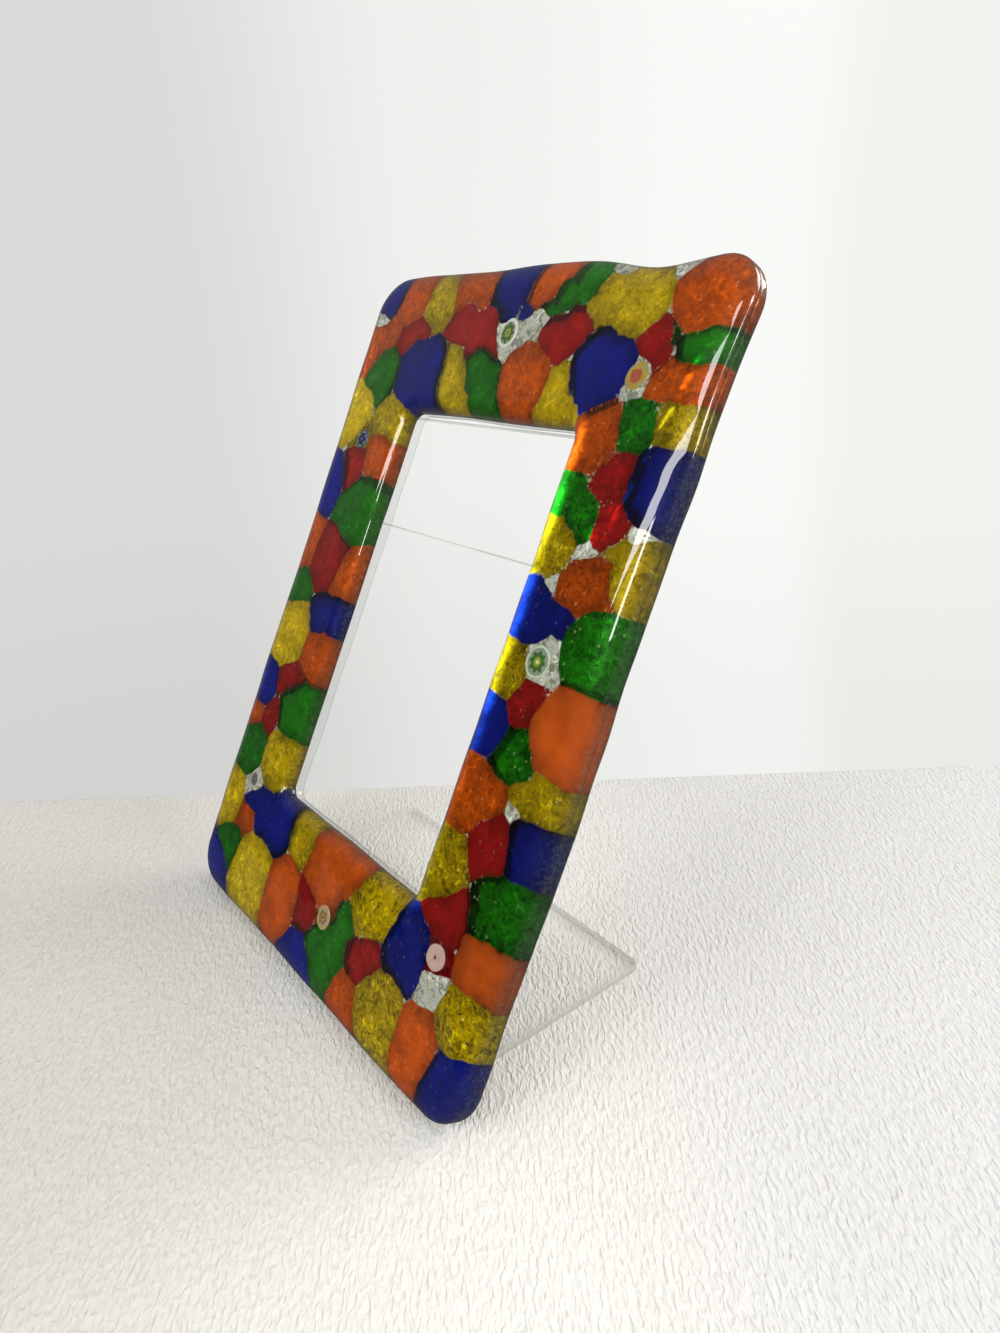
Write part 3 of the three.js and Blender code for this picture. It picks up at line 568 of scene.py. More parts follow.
class Shader:
    """A material's node tree, written as calls."""

    def __init__(self, name: str) -> None:
        """Makes an empty material.

        Args:
            name: The material's name.
        """
        self.material = bpy.data.materials.new(name)
        self.material.use_nodes = True
        self.tree = self.material.node_tree
        self.tree.nodes.clear()

    def node(self, kind: str, settings: dict | None = None,
             inputs: dict | None = None) -> bpy.types.Node:
        """Adds a node, sets its settings and then the values or links of its sockets.

        Args:
            kind: The node's type.
            settings: Its properties by name.
            inputs: Numbers, colours or links by socket name or index.

        Returns:
            The node.
        """
        node = self.tree.nodes.new(kind)
        for key, value in (settings or {}).items():
            setattr(node, key, value)
        for key, value in (inputs or {}).items():
            if isinstance(value, Value):
                value = value.socket
            if isinstance(value, bpy.types.NodeSocket):
                self.tree.links.new(value, node.inputs[key])
            else:
                node.inputs[key].default_value = value
        return node

    def attribute(self, name: str) -> Value:
        """Reads a value stored on the mesh's points."""
        node = self.node("ShaderNodeAttribute", {"attribute_name": name})
        return Value(self, node.outputs["Fac"])

    def place(self) -> bpy.types.NodeSocket:
        """Reads the point on the object.

        Returns:
            The point, in millimetres.
        """
        here = self.node("ShaderNodeTexCoord").outputs["Object"]
        inputs = {0: here, "Scale": 1 / MM}
        return self.node("ShaderNodeVectorMath", {"operation": "SCALE"}, inputs).outputs[0]

    def noise(self, place: bpy.types.NodeSocket, size: float, detail: float = 3.0,
              roughness: float = 0.5, distortion: float = 0.0) -> Value:
        """Adds fractal noise.

        Args:
            place: The point to read at, in millimetres.
            size: About how wide the largest blobs are.
            detail: How many finer layers there are.
            roughness: How strong they are.
            distortion: How far the noise is twisted.

        Returns:
            The noise, mostly between 0.2 and 0.8.
        """
        inputs = {"Vector": place, "Scale": 1 / size, "Detail": detail,
                  "Roughness": roughness, "Distortion": distortion}
        return Value(self, self.node("ShaderNodeTexNoise", {}, inputs).outputs[0])

    def cells(self, place: bpy.types.NodeSocket, size: float) -> tuple[Value, Value]:
        """Scatters points and reads the nearest one.

        Args:
            place: The point to read at, in millimetres.
            size: How far apart the points lie.

        Returns:
            The distance to the nearest point, and a number of that point's own.
        """
        node = self.node("ShaderNodeTexVoronoi", {}, {"Vector": place, "Scale": 1 / size})
        parts = self.node("ShaderNodeSeparateColor", {}, {0: node.outputs["Color"]})
        return Value(self, node.outputs["Distance"]), Value(self, parts.outputs[0])

    def mix(self, factor: "Value | float", first: object, second: object,
            kind: str = "MIX") -> bpy.types.NodeSocket:
        """Mixes two colours.

        Args:
            factor: How much of the second.
            first: A colour or a link.
            second: A colour or a link.
            kind: The way that they mix.

        Returns:
            The mixed colour's socket.
        """
        settings = {"data_type": "RGBA", "blend_type": kind}
        inputs = {0: factor, 6: first, 7: second}
        return self.node("ShaderNodeMix", settings, inputs).outputs[2]

    def grey(self, value: Value) -> bpy.types.NodeSocket:
        """Makes a grey colour of a number, to multiply a colour with."""
        return self.node("ShaderNodeCombineColor", {}, {0: value, 1: value, 2: value}).outputs[0]

    def bump(self, height: Value, distance: float, strength: float) -> bpy.types.NodeSocket:
        """Gives the normal of a height in shares of a distance in millimetres."""
        inputs = {"Height": height, "Distance": distance * MM, "Strength": strength}
        return self.node("ShaderNodeBump", {}, inputs).outputs[0]

    def principled(self, inputs: dict) -> bpy.types.NodeSocket:
        """Adds the main shader with these sockets."""
        return self.node("ShaderNodeBsdfPrincipled", {}, inputs).outputs[0]

    def finish(self, surface: bpy.types.NodeSocket) -> bpy.types.Material:
        """Ends the tree at the surface output and gives the material."""
        self.node("ShaderNodeOutputMaterial", {}, {"Surface": surface})
        return self.material


Colour = tuple[float, float, float, float]


def srgb(red: int, green: int, blue: int) -> Colour:
    """Turns a screen colour into the linear one that shaders take.

    Args:
        red: Red, from 0 to 255.
        green: Green, from 0 to 255.
        blue: Blue, from 0 to 255.

    Returns:
        The linear colour with full cover.
    """
    parts = np.array([red, green, blue]) / 255
    linear = np.where(parts <= 0.04045, parts / 12.92, ((parts + 0.055) / 1.055) ** 2.4)
    return (*[float(part) for part in linear], 1.0)


# --- Finishes ------------------------------------------------------------------------------


Tints = dict[Glass, Colour]


@dataclass(frozen=True)
class MosaicFinish:
    """Coloured glass over crinkled foil, under a smooth fire-polished face.

    Tints are the glasses as they lie on the foil, filters what they pass on from a glass
    below, and lights what they carry along inside them to an edge.
    """

    tints: Tints = field(
        default_factory=lambda: {
            Glass.ORANGE: srgb(166, 67, 0),
            Glass.RED: srgb(128, 12, 6),
            Glass.BLUE: srgb(2, 13, 98),
            Glass.GREEN: srgb(20, 96, 4),
            Glass.YELLOW: srgb(168, 143, 0),
        }
    )
    filters: Tints = field(
        default_factory=lambda: {
            Glass.ORANGE: (0.80, 0.34, 0.15, 1.0),
            Glass.RED: (0.60, 0.13, 0.11, 1.0),
            Glass.BLUE: (0.14, 0.25, 0.60, 1.0),
            Glass.GREEN: (0.20, 0.56, 0.19, 1.0),
            Glass.YELLOW: (0.85, 0.66, 0.17, 1.0),
        }
    )
    lights: Tints = field(
        default_factory=lambda: {
            Glass.ORANGE: srgb(255, 112, 8),
            Glass.RED: srgb(236, 28, 20),
            Glass.BLUE: srgb(24, 84, 250),
            Glass.GREEN: srgb(30, 214, 40),
            Glass.YELLOW: srgb(255, 240, 20),
        }
    )
    silver: Colour = srgb(176, 179, 162)
    silver_flake: Colour = srgb(232, 234, 222)
    silver_shadow: Colour = srgb(92, 94, 74)
    edge_glass: Colour = srgb(84, 88, 76)
    blend_width: float = 0.55
    shade_step: float = 0.13

    def glassed(self, shader: Shader, tints: Tints) -> bpy.types.NodeSocket:
        """Mixes the glasses' colours by how far a point lies inside each of them.

        Args:
            shader: The shader to write in.
            tints: A colour for each glass.

        Returns:
            The mixed colour.
        """
        weights = [(shader.attribute(glass.name.lower()) / self.blend_width + 0.5).share()
                   for glass in COLOURED]
        total, mixed = weights[0] + 0.0001, tints[COLOURED[0]]
        for glass, weight in zip(COLOURED[1:], weights[1:]):
            total = total + weight
            mixed = shader.mix(weight / total, mixed, tints[glass])
        return mixed

    def material(self) -> bpy.types.Material:
        """Writes the shader.

        Returns:
            The material.
        """
        shader = Shader("mosaic_glass")
        place = shader.place()
        foil, shade = shader.attribute("foil") ** 0.6, shader.attribute("shade")
        joint, rim = shader.attribute("joint"), shader.attribute("rim")
        glow, painted_haze = shader.attribute("glow"), shader.attribute("painted_haze")
        coloured = shader.attribute("coloured").ramp(-0.22, 0.22)

        flecks, fleck_tone = shader.cells(place, 1.3)
        _, fine_tone = shader.cells(place, 0.6)
        wrinkle = shader.noise(place, 2.3, 3.0, 0.58, 1.3)
        crease = shader.noise(place, 3.4, 2.0, 0.6, 2.0)
        cloud = shader.noise(place, 7.0, 2.0, 0.5)

        flake = fine_tone.ramp(0.45, 0.95) * cloud.ramp(0.58, 0.42)
        clear = shader.mix(flake, self.silver, self.silver_flake)
        clear = shader.mix(wrinkle.ramp(0.46, 0.62) * 0.75, clear, self.silver_shadow)

        tint = self.glassed(shader, self.tints)
        creases = (1 - (crease - 0.5).math("ABSOLUTE").ramp(0.0, 0.05)) * foil
        dark = (wrinkle.ramp(0.54, 0.34) * 0.55 + creases * 0.4).share()
        middle = joint.ramp(-0.4, 4.2)
        depth_tone = 0.6 + cloud.ramp(0.3, 0.7) * 0.38 + middle * 0.4
        # The pieces' shade carries painted light and shade as well as their own tone.
        tone = (1 + shade * self.shade_step) * (1 - dark * foil) * depth_tone
        tint = shader.mix(1.0, tint, shader.grey(tone), "MULTIPLY")
        # Painted glints: bright patches on the crinkled foil, painted into the base colour.
        bright = wrinkle.ramp(0.54, 0.7) * fleck_tone.ramp(0.3, 0.7) * foil
        lit = shader.mix(1.0, tint, (2.3, 2.4, 2.2, 1.0), "MULTIPLY")
        tint = shader.mix((bright * 0.85).share(), tint, lit)

        for glass in COLOURED:
            below = (shader.attribute("under_" + glass.name.lower()) / 0.7 + 0.5).share()
            through = shader.mix(1.0, tint, self.filters[glass], "MULTIPLY")
            tint = shader.mix(below * 0.88, tint, through)
        seam = (1 - joint.ramp(-0.5, 0.7)) * (0.35 + wrinkle.ramp(0.4, 0.6) * 0.65)
        seam_tint = shader.mix(1.0, tint, (0.42, 0.36, 0.3, 1.0), "MULTIPLY")
        tint = shader.mix(seam * 0.35, tint, seam_tint)
        # Painted glints: small pale sparks on the foil.
        spark = (fleck_tone.ramp(0.68, 0.9) * (1 - flecks.ramp(0.08, 0.42)) * foil
                 * foil * crease.ramp(0.42, 0.58))
        pale = shader.mix(0.4, lit, srgb(226, 232, 180))
        tint = shader.mix((spark * 0.9).share(), tint, pale)
        specks = (1 - joint.ramp(-0.6, 0.3)) * fine_tone.ramp(0.62, 0.85) * cloud.ramp(0.5, 0.64)
        tint = shader.mix(specks * 0.7, tint, srgb(206, 206, 176))
        tint = shader.mix(coloured, clear, tint)
        # Painted reflection: a faint pale haze, mixed in towards the top left.
        tint = shader.mix(painted_haze * 0.02, tint, srgb(206, 196, 176))
        edge = shader.mix(1.0, tint, (0.30, 0.31, 0.29, 1.0), "MULTIPLY")
        edge = shader.mix(0.18 + fine_tone.ramp(0.5, 0.9) * 0.4, edge, self.edge_glass)
        tint = shader.mix(rim, tint, edge)

        height = wrinkle * 0.7 + crease * 0.5 + (1 - flecks) * 0.4 * fleck_tone
        carried = self.glassed(shader, self.lights)
        carried = shader.mix(coloured, srgb(236, 240, 226), carried)
        glints = glow * (0.55 + wrinkle.ramp(0.35, 0.65) * 0.6)
        emission = shader.mix(1.0, carried, shader.grey(glints), "MULTIPLY")
        return shader.finish(
            shader.principled(
                {
                    "Base Color": tint,
                    "Metallic": (foil * 0.45 * coloured + (1 - coloured) * 0.2).share(),
                    "Roughness": 0.5 - foil * 0.2,
                    "Normal": shader.bump(height * foil, 0.3, 0.5),
                    "IOR": 1.5,
                    "Specular IOR Level": 0.1,
                    "Coat Weight": 1.0,
                    "Coat Roughness": 0.02,
                    "Coat IOR": 1.5,
                    "Emission Color": emission,
                    "Emission Strength": 1.0,
                }
            )
        )


@dataclass(frozen=True)
class ClearGlassFinish:
    """Clear glass with a few seeds of air, which the tiles' undersides show through."""

    def material(self) -> bpy.types.Material:
        """Writes the shader: clear glass that only its gloss and its seeds show.

        Returns:
            The material.
        """
        shader = Shader("clear_glass")
        place = shader.place()
        seeds, tone = shader.cells(place, 2.6)
        bubbles = (1 - seeds.ramp(0.04, 0.14)) * tone.ramp(0.6, 0.7)
        waves = shader.noise(place, 7.0, 1.0)
        facing = Value(shader, shader.node("ShaderNodeLayerWeight").outputs["Facing"])
        return shader.finish(
            shader.principled(
                {
                    "Base Color": (0.93, 0.96, 0.94, 1.0),
                    "Metallic": 1.0,
                    "Roughness": bubbles * 0.3 + 0.02,
                    "Normal": shader.bump(waves + bubbles * 0.4, 0.3, 0.4),
                    "IOR": 1.52,
                    "Alpha": (facing**4 * 0.8 + 0.05 + bubbles * 0.3).share(),
                }
            )
        )


@dataclass(frozen=True)
class AcrylicFinish:
    """Clear acrylic sheet: faces that only their gloss shows, and pale milky sawn edges."""

    edge_tint: Colour = srgb(194, 196, 186)
    edge_shadow: Colour = srgb(150, 153, 144)
    edge_cover: float = 0.5

    def material(self) -> bpy.types.Material:
        """Writes the shader: as clear as its faces reflect little, and milky on its edges.

        Returns:
            The material.
        """
        shader = Shader("clear_acrylic")
        place = shader.place()
        edge = shader.attribute("edge")
        wipes = shader.noise(place, 9.0, 4.0, 0.6, 0.8)
        saw = shader.noise(place, 0.8, 2.0)
        tint = shader.mix(saw.ramp(0.4, 0.7) * 0.3, self.edge_tint, self.edge_shadow)
        facing = Value(shader, shader.node("ShaderNodeLayerWeight").outputs["Facing"])
        cover = (facing**5 * 0.08 + 0.004).most(edge * self.edge_cover)
        gathered = shader.mix(1.0, tint, shader.grey(shader.attribute("lit")), "MULTIPLY")
        return shader.finish(
            shader.principled(
                {
                    "Base Color": shader.mix(edge, (0.96, 0.97, 0.96, 1.0), tint),
                    "Metallic": 1 - edge,
                    "Roughness": wipes.ramp(0.62, 0.8) * 0.05 + edge * 0.3 + 0.01,
                    "Normal": shader.bump(saw * edge, 0.05, 0.25),
                    "IOR": 1.49,
                    "Alpha": cover,
                    "Emission Color": gathered,
                    "Emission Strength": 1.0,
                }
            )
        )


@dataclass(frozen=True)
class CaneFinish:
    """A patterned cane cut across: rings and petals about its middle."""

    name: str
    ring: Colour
    petals: Colour
    heart: Colour
    middle: Colour
    petal_count: int = 8
    ring_from: float = 0.74
    petal_reach: float = 0.58
    heart_reach: float = 0.3
    squareness: float = 0.0

    def material(self) -> bpy.types.Material:
        """Writes the shader: bands by the distance from the middle, waved into petals.

        Returns:
            The material.
        """
        shader = Shader(self.name)
        across, up = shader.attribute("cane_across"), shader.attribute("cane_up")
        place = shader.place()
        blur = shader.noise(place, 1.2, 2.0)
        away = (across * across + up * up) ** 0.5
        square = across.math("ABSOLUTE").most(up.math("ABSOLUTE"))
        away = away * (1 - self.squareness) + square * self.squareness
        away = away + (blur - 0.5) * 0.12
        turn = up.math("ARCTAN2", across)
        wave = (turn * float(self.petal_count)).math("COSINE")
        petal_edge = wave * 0.09 + self.petal_reach
        in_ring = away.ramp(self.ring_from - 0.05, self.ring_from + 0.03)
        in_petals = ((petal_edge - away) / 0.08 + 0.5).share()
        in_heart = ((wave * 0.03 + self.heart_reach - away) / 0.07 + 0.5).share()
        in_middle = 1 - away.ramp(0.08, 0.17)
        ground = srgb(120, 132, 112)
        tint = shader.mix(in_ring, ground, self.ring)
        tint = shader.mix(in_petals, tint, self.petals)
        tint = shader.mix(in_heart, tint, self.heart)
        tint = shader.mix(in_middle, tint, self.middle)
        tint = shader.mix(1.0, tint, shader.grey(0.82 + blur * 0.36), "MULTIPLY")
        return shader.finish(
            shader.principled(
                {
                    "Base Color": tint,
                    "Roughness": 0.35 + blur * 0.1,
                    "Normal": shader.bump(blur, 0.1, 0.2),
                    "IOR": 1.5,
                    "Coat Weight": 1.0,
                    "Coat Roughness": 0.03,
                }
            )
        )


# --- The mosaic ----------------------------------------------------------------------------


@dataclass(frozen=True)
class Cane:
    """A slice of cane: the node that it stands for, its place and radius, and its look.

    Ground is the glass that closes round the slice, and stretch its height for its width.
    """

    node: str
    across: float
    up: float
    radius: float
    finish: CaneFinish
    ground: Glass = Glass.CLEAR
    stretch: float = 1.0


CANES = (
    Cane("cane_slice_top", -0.3, 182, 3.7,
         CaneFinish("cane_green_flower", srgb(190, 198, 176), srgb(66, 88, 24),
                    srgb(140, 144, 70), srgb(92, 100, 44)), stretch=1.12),
    Cane("cane_slice_top_right", 50.2, 172, 3.4,
         CaneFinish("cane_yellow_square", srgb(158, 128, 34), srgb(158, 128, 34),
                    srgb(152, 72, 36), srgb(146, 72, 84), 4, 0.7, 0.66, 0.46, 0.85)),
    Cane("cane_slice_right", 50.3, 105.5, 3.9,
         CaneFinish("cane_leaf_flower", srgb(176, 192, 160), srgb(48, 92, 14),
                    srgb(120, 140, 40), srgb(206, 198, 120), ring_from=0.84)),
    Cane("cane_slice_bottom_right", 50.3, 33.6, 3.5,
         CaneFinish("cane_white_eye", srgb(186, 158, 148), srgb(178, 150, 138),
                    srgb(172, 146, 134), srgb(120, 16, 22), 6, 0.8, 1.0, 0.3), Glass.RED, 0.94),
    Cane("cane_slice_bottom", 4.4, 20.5, 3.2,
         CaneFinish("cane_pale_ring", srgb(164, 138, 86), srgb(120, 84, 40),
                    srgb(158, 122, 62), srgb(76, 46, 20), 6, 0.66, 0.52, 0.32), Glass.ORANGE),
    Cane("cane_slice_bottom_left", -52.6, 38.5, 2.9,
         CaneFinish("cane_rose_eye", srgb(170, 160, 140), srgb(96, 92, 84),
                    srgb(84, 80, 80), srgb(128, 118, 100), 6, 0.74, 0.62, 0.36)),
    Cane("cane_slice_left", -54.8, 148.8, 3.0,
         CaneFinish("cane_night_flower", srgb(66, 74, 104), srgb(26, 30, 70),
                    srgb(34, 38, 84), srgb(110, 104, 90), 6, 0.78, 0.66, 0.3), Glass.YELLOW),
)


@dataclass
class TileField:
    """The mosaic's pattern, read at any points of the slab.

    Two neighbours that just touch as circles meet on the line through that point, as soap
    bubbles do, and the whole pattern wanders a little, as hand-cut glass does in the kiln.
    """

    softness: float = 1.1
    wander: float = 0.42
    least_lap: float = 0.35
    far_lap: float = 1.2
    shade_spread: float = 0.7
    joint_half_width: float = 0.78
    joint_unevenness: float = 0.25
    seed: int = 11

    def __post_init__(self) -> None:
        """Lists every circle as arrays, with its piece's number, glass, foil, lap and shade."""
        pieces = [*LAYOUT, *(cut(cane.ground, (cane.across, cane.up, cane.radius), foil=1.0)
                             for cane in CANES)]
        draw = np.random.default_rng(self.seed)
        rows = []
        for number, piece in enumerate(pieces):
            shade = piece.shade + draw.uniform(-self.shade_spread, self.shade_spread)
            rows += [(*circle, number, piece.glass.value, piece.foil, *piece.lap, shade)
                     for circle in piece.circles]
        table = np.array(rows, float)
        self.across, self.up, self.radius = table[:, :3].T
        self.piece, self.kind = table[:, 3].astype(int), table[:, 4].astype(int)
        self.foil, self.shade = table[:, 5], table[:, 8]
        self.lap = table[:, 6:8]

    def wandered(self, across: Array, up: Array) -> tuple[Array, Array]:
        """Moves points by two scales of waves, so that straight joints come out uneven.

        Args:
            across: Distances across, in millimetres.
            up: Distances up the slab.

        Returns:
            The moved distances across and up.
        """
        moved_across = across + self.wander * Waves(13, 3).height(across, up)
        moved_up = up + self.wander * Waves(13, 4).height(across, up)
        moved_across = moved_across + 0.15 * Waves(3.6, 5).height(across, up)
        return moved_across, moved_up + 0.15 * Waves(3.6, 6).height(across, up)

    def read(self, across: Array, up: Array) -> dict[str, Array]:
        """Reads the pattern at points, in blocks so that the tables stay small.

        Args:
            across: Distances across, in millimetres.
            up: Distances up the slab.

        Returns:
            Values by name: a signed distance to the glass of each colour, the softened
            distance to the joints, and each piece's own shade, foil and lap.
        """
        moved = self.wandered(across, up)
        gap = self.joint_unevenness * Waves(7, 8).height(across, up) - self.joint_half_width
        blocks = np.array_split(np.arange(len(across)), max(1, len(across) // 8000))
        parts = [self._block(moved[0][b], moved[1][b], gap[b]) for b in blocks]
        return {name: np.concatenate([part[name] for part in parts]) for name in parts[0]}

    def _block(self, across: Array, up: Array, gap: Array) -> dict[str, Array]:
        """Reads the pattern at one block of points.

        The joint with another circle is where the two circles' powers are equal, where a
        point's power is its squared distance from the middle less the squared radius. The
        circles of one piece have no joint between them.

        Args:
            across: Wandered distances across.
            up: Wandered distances up the slab.
            gap: How far from a joint each point's glass begins, as a negative number.

        Returns:
            The values that read gives.
        """
        power = ((across[:, None] - self.across) ** 2 + (up[:, None] - self.up) ** 2
                 - self.radius**2)
        own = power.argmin(axis=1)
        least = power[np.arange(len(own)), own]
        step_across = self.across[None, :] - self.across[own][:, None]
        step_up = self.up[None, :] - self.up[own][:, None]
        apart = np.hypot(step_across, step_up)
        fused = self.piece[None, :] == self.piece[own][:, None]
        apart[fused] = 1.0
        joint = np.where(fused, np.inf, (power - least[:, None]) / (2 * apart))
        soft = -np.log(np.exp(-self.softness * np.minimum(joint, 40)).sum(axis=1)) / self.softness
        towards = (self.lap[own, 0:1] * step_across + self.lap[own, 1:2] * step_up) / apart
        below = np.where(towards > self.least_lap, towards - joint, -self.far_lap)
        kind = self.kind[own]
        values = {"joint": soft, "shade": self.shade[own], "foil": self.foil[own]}
        for glass in COLOURED:
            of_glass = self.kind == glass.value
            to_same = np.where(of_glass, joint, np.inf).min(axis=1)
            to_other = np.where(of_glass, np.inf, joint).min(axis=1)
            values[glass.name.lower()] = np.where(kind == glass.value, to_other, -to_same)
            lapped = np.where(of_glass, below, -self.far_lap).max(axis=1)
            values["under_" + glass.name.lower()] = np.maximum(lapped, -self.far_lap)
        clear = self.kind == Glass.CLEAR.value
        to_clear = np.where(clear, joint, np.inf).min(axis=1)
        to_tile = np.where(clear, np.inf, joint).min(axis=1)
        values["coloured"] = np.where(clear[own], -to_tile, np.minimum(to_clear, soft - gap))
        return values


def kiln_rolls(across: Array, up: Array) -> Array:
    """Gives the slow rise and fall of the molten face: two lengths of waves, in millimetres."""
    return 0.07 * Waves(25, 21).height(across, up) + 0.004 * Waves(6.5, 22).height(across, up)


def window_glow(across: Array, up: Array) -> Array:
    """Gives the light that the window's right edge gathers: a Gaussian along its shoulder.

    Args:
        across: Distances across, in millimetres.
        up: Distances up the slab.

    Returns:
        Strengths of light.
    """
    from_window = np.maximum(WINDOW.distance(across, up), 0)
    lit = np.clip((across - 34) / 2, 0, 1) * np.clip((up - 70) / 50, 0.12, 1)
    lit = lit * np.clip((164 - up) / 3, 0, 1)
    shoulder = np.exp(-(((from_window - 3.3) / 1.7) ** 2))
    return 1.8 * lit * shoulder * (1 + 0.4 * Waves(9, 43).height(across, up))


def painted_reflection_haze(across: Array, up: Array) -> Array:
    """Gives a painted reflection haze: more to the top left, where the glass's face mirrors the
    room.
    """
    return np.clip((up - 60) / 130, 0, 1) * np.clip((40 - across) / 90, 0, 1)


def gathered_streaks(across: Array, up: Array) -> Array:
    """Gives the bright streaks where the rounded edges gather light on the foil below.

    Each is a line down a bar, narrow across it and broken into glints along it.

    Args:
        across: Distances across, in millimetres.
        up: Distances up the slab.

    Returns:
        Strengths of light.
    """
    glints = 0.5 + 0.5 * Waves(5, 41).height(across, up) + 0.4 * Waves(2, 42).height(across, up)
    right = np.exp(-(((across - 66 + 0.22 * (176 - up)) / 0.6) ** 2))
    right = right * np.clip((up - 157) / 5, 0.22, 1) * np.clip((178 - up) / 4, 0, 1)
    right = right * np.clip((up - 132) / 4, 0, 1)
    for across_at, up_at, reach in ((54.4, 135.6, 1.7), (57.4, 142.0, 1.1)):
        right = right + np.exp(-((across - across_at) ** 2 + (up - up_at) ** 2) / reach**2)
    left = np.exp(-(((across + 66.2) / 1.0) ** 2))
    left = left * np.clip((up - 157) / 4, 0, 1) * np.clip((188 - up) / 4, 0, 1)
    return 1.1 * (right + 0.45 * left) * np.clip(glints, 0, 1.3)


@dataclass
class Mosaic:
    """The fused sheet of coloured tiles: one continuous ring with fire-polished edges."""

    slab: Slab
    tiles: TileField
    depth: float = 4.46
    outer_rounding: tuple[float, float] = (7.2, 4.0)
    window_rounding: tuple[float, float] = (4.6, 3.4)
    corner_steps: int = 18
    end_steps: int = 144
    side_steps: int = 224
    front_steps: int = 52
    back_steps: int = 26
    arc_steps: int = 13
    edge_depth: float = 0.85
    groove_depth: float = 0.008
    groove_width: float = 1.7
    cane_dip: float = 0.3

    def section(self, width: float, fall: float) -> tuple[Array, Array, Array, Array]:
        """Walks an edge's section from its foot over its quarter ellipse to the front.

        Args:
            width: How far the ellipse reaches over the front.
            fall: How far it falls at the edge.

        Returns:
            Insets from the outline, depths, and the outward and forward parts of the
            normal, one for each step.
        """
        wall = np.linspace(0, 1, 3)[:-1]
        turn = np.linspace(0, math.pi / 2, self.arc_steps + 1)[:-1]
        inset = np.concatenate([0 * wall, width * (1 - np.cos(turn))])
        depth = np.concatenate([self.depth + wall * (fall - self.depth),
                                fall * (1 - np.sin(turn))])
        steep = np.hypot(np.cos(turn) / width, np.sin(turn) / fall)
        outward = np.concatenate([0 * wall + 1, np.cos(turn) / width / steep])
        forward = np.concatenate([0 * wall, np.sin(turn) / fall / steep])
        return inset, depth, outward, forward

    def surface(self) -> Surface:
        """Works out the ring: an edge section at each outline, and straight lines between.

        Its face dips at the joints as a Gaussian of their distance, rolls with two lengths
        of waves, and sinks under the cane slices.

        Returns:
            The closed surface with the pattern's values on its points.
        """
        counts = (self.corner_steps, self.end_steps, self.side_steps)
        outer, outer_way = OUTER.stations(*counts)
        window, window_way = WINDOW.stations(*counts)
        parts, normals, rims = [], [], []
        for place, way, sign, rounding in (
            (outer, outer_way, 1.0, self.outer_rounding),
            (window, -window_way, -1.0, self.window_rounding),
        ):
            inset, depth, outward, forward = self.section(*rounding)
            flat = place[:, None, :] - way[:, None, :] * inset[None, :, None]
            deep = np.broadcast_to(depth, flat.shape[:2])
            parts.append(np.concatenate([flat, deep[..., None]], axis=-1))
            normal = np.concatenate(
                [way[:, None, :] * outward[None, :, None],
                 np.broadcast_to(-forward, flat.shape[:2])[..., None]], axis=-1)
            normals.append(normal)
            lowered = np.clip(depth / self.depth, 0, 1) ** (1.2 if sign > 0 else 0.8)
            rims.append(np.broadcast_to(lowered, flat.shape[:2]))
        share = np.linspace(0, 1, self.front_steps + 1)[None, :, None]
        start = outer - outer_way * self.outer_rounding[0]
        finish = window + window_way * self.window_rounding[0]
        front = start[:, None, :] + share * (finish - start)[:, None, :]
        front = np.concatenate([front, 0 * front[..., :1]], axis=-1)
        forward = np.zeros_like(front)
        forward[..., 2] = -1
        share = np.linspace(0, 1, self.back_steps + 1)[None, 1:-1, None]
        back = window[:, None, :] + share * (outer - window)[:, None, :]
        back = np.concatenate([back, 0 * back[..., :1] + self.depth], axis=-1)
        grid = np.concatenate([parts[0], front, parts[1][:, ::-1], back], axis=1)
        normal = np.concatenate([normals[0], forward, normals[1][:, ::-1], 0 * back], axis=1)
        rim = np.concatenate([rims[0], 0 * front[..., 0], rims[1][:, ::-1], 0 * back[..., 0]],
                             axis=1)
        across, up = grid[..., 0].reshape(-1), grid[..., 1].reshape(-1)
        values = self.tiles.read(across, up)
        grid = grid + normal * self.lift(across, up, values).reshape(grid.shape[:2])[..., None]
        values["rim"] = self.edge_depth * rim.reshape(-1)
        values["glow"] = window_glow(across, up) + gathered_streaks(across, up)
        values["painted_haze"] = painted_reflection_haze(across, up)
        points = self.slab.place(grid[..., 0], grid[..., 1], grid[..., 2])
        made = Surface.tube(points, round_rows=True)
        made.values = values
        return made

    def lift(self, across: Array, up: Array, values: dict[str, Array]) -> Array:
        """Gives how far the glass stands out at points, in millimetres.

        Args:
            across: Distances across.
            up: Distances up the slab.
            values: The pattern's values there.

        Returns:
            Heights along the surface's normal.
        """
        joint = np.maximum(values["joint"], 0)
        groove = -self.groove_depth * np.exp(-((joint / self.groove_width) ** 2))
        under_cane = np.zeros_like(across)
        for cane in CANES:
            away = np.hypot(across - cane.across, (up - cane.up) / cane.stretch) / cane.radius
            under_cane = under_cane - self.cane_dip * np.exp(-(away**6))
        return groove + kiln_rolls(across, up) + under_cane

    def build(self, coloured: bpy.types.Material) -> bpy.types.Object:
        """Makes the fused sheet, which stands for every tile node.

        Args:
            coloured: The coloured glass.

        Returns:
            The sheet.
        """
        piece = self.surface().make("fused_mosaic")
        piece.data.materials.append(coloured)
        tiles = [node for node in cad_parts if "_tile_" in node]
        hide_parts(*tiles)
        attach(piece, "root")
        return piece


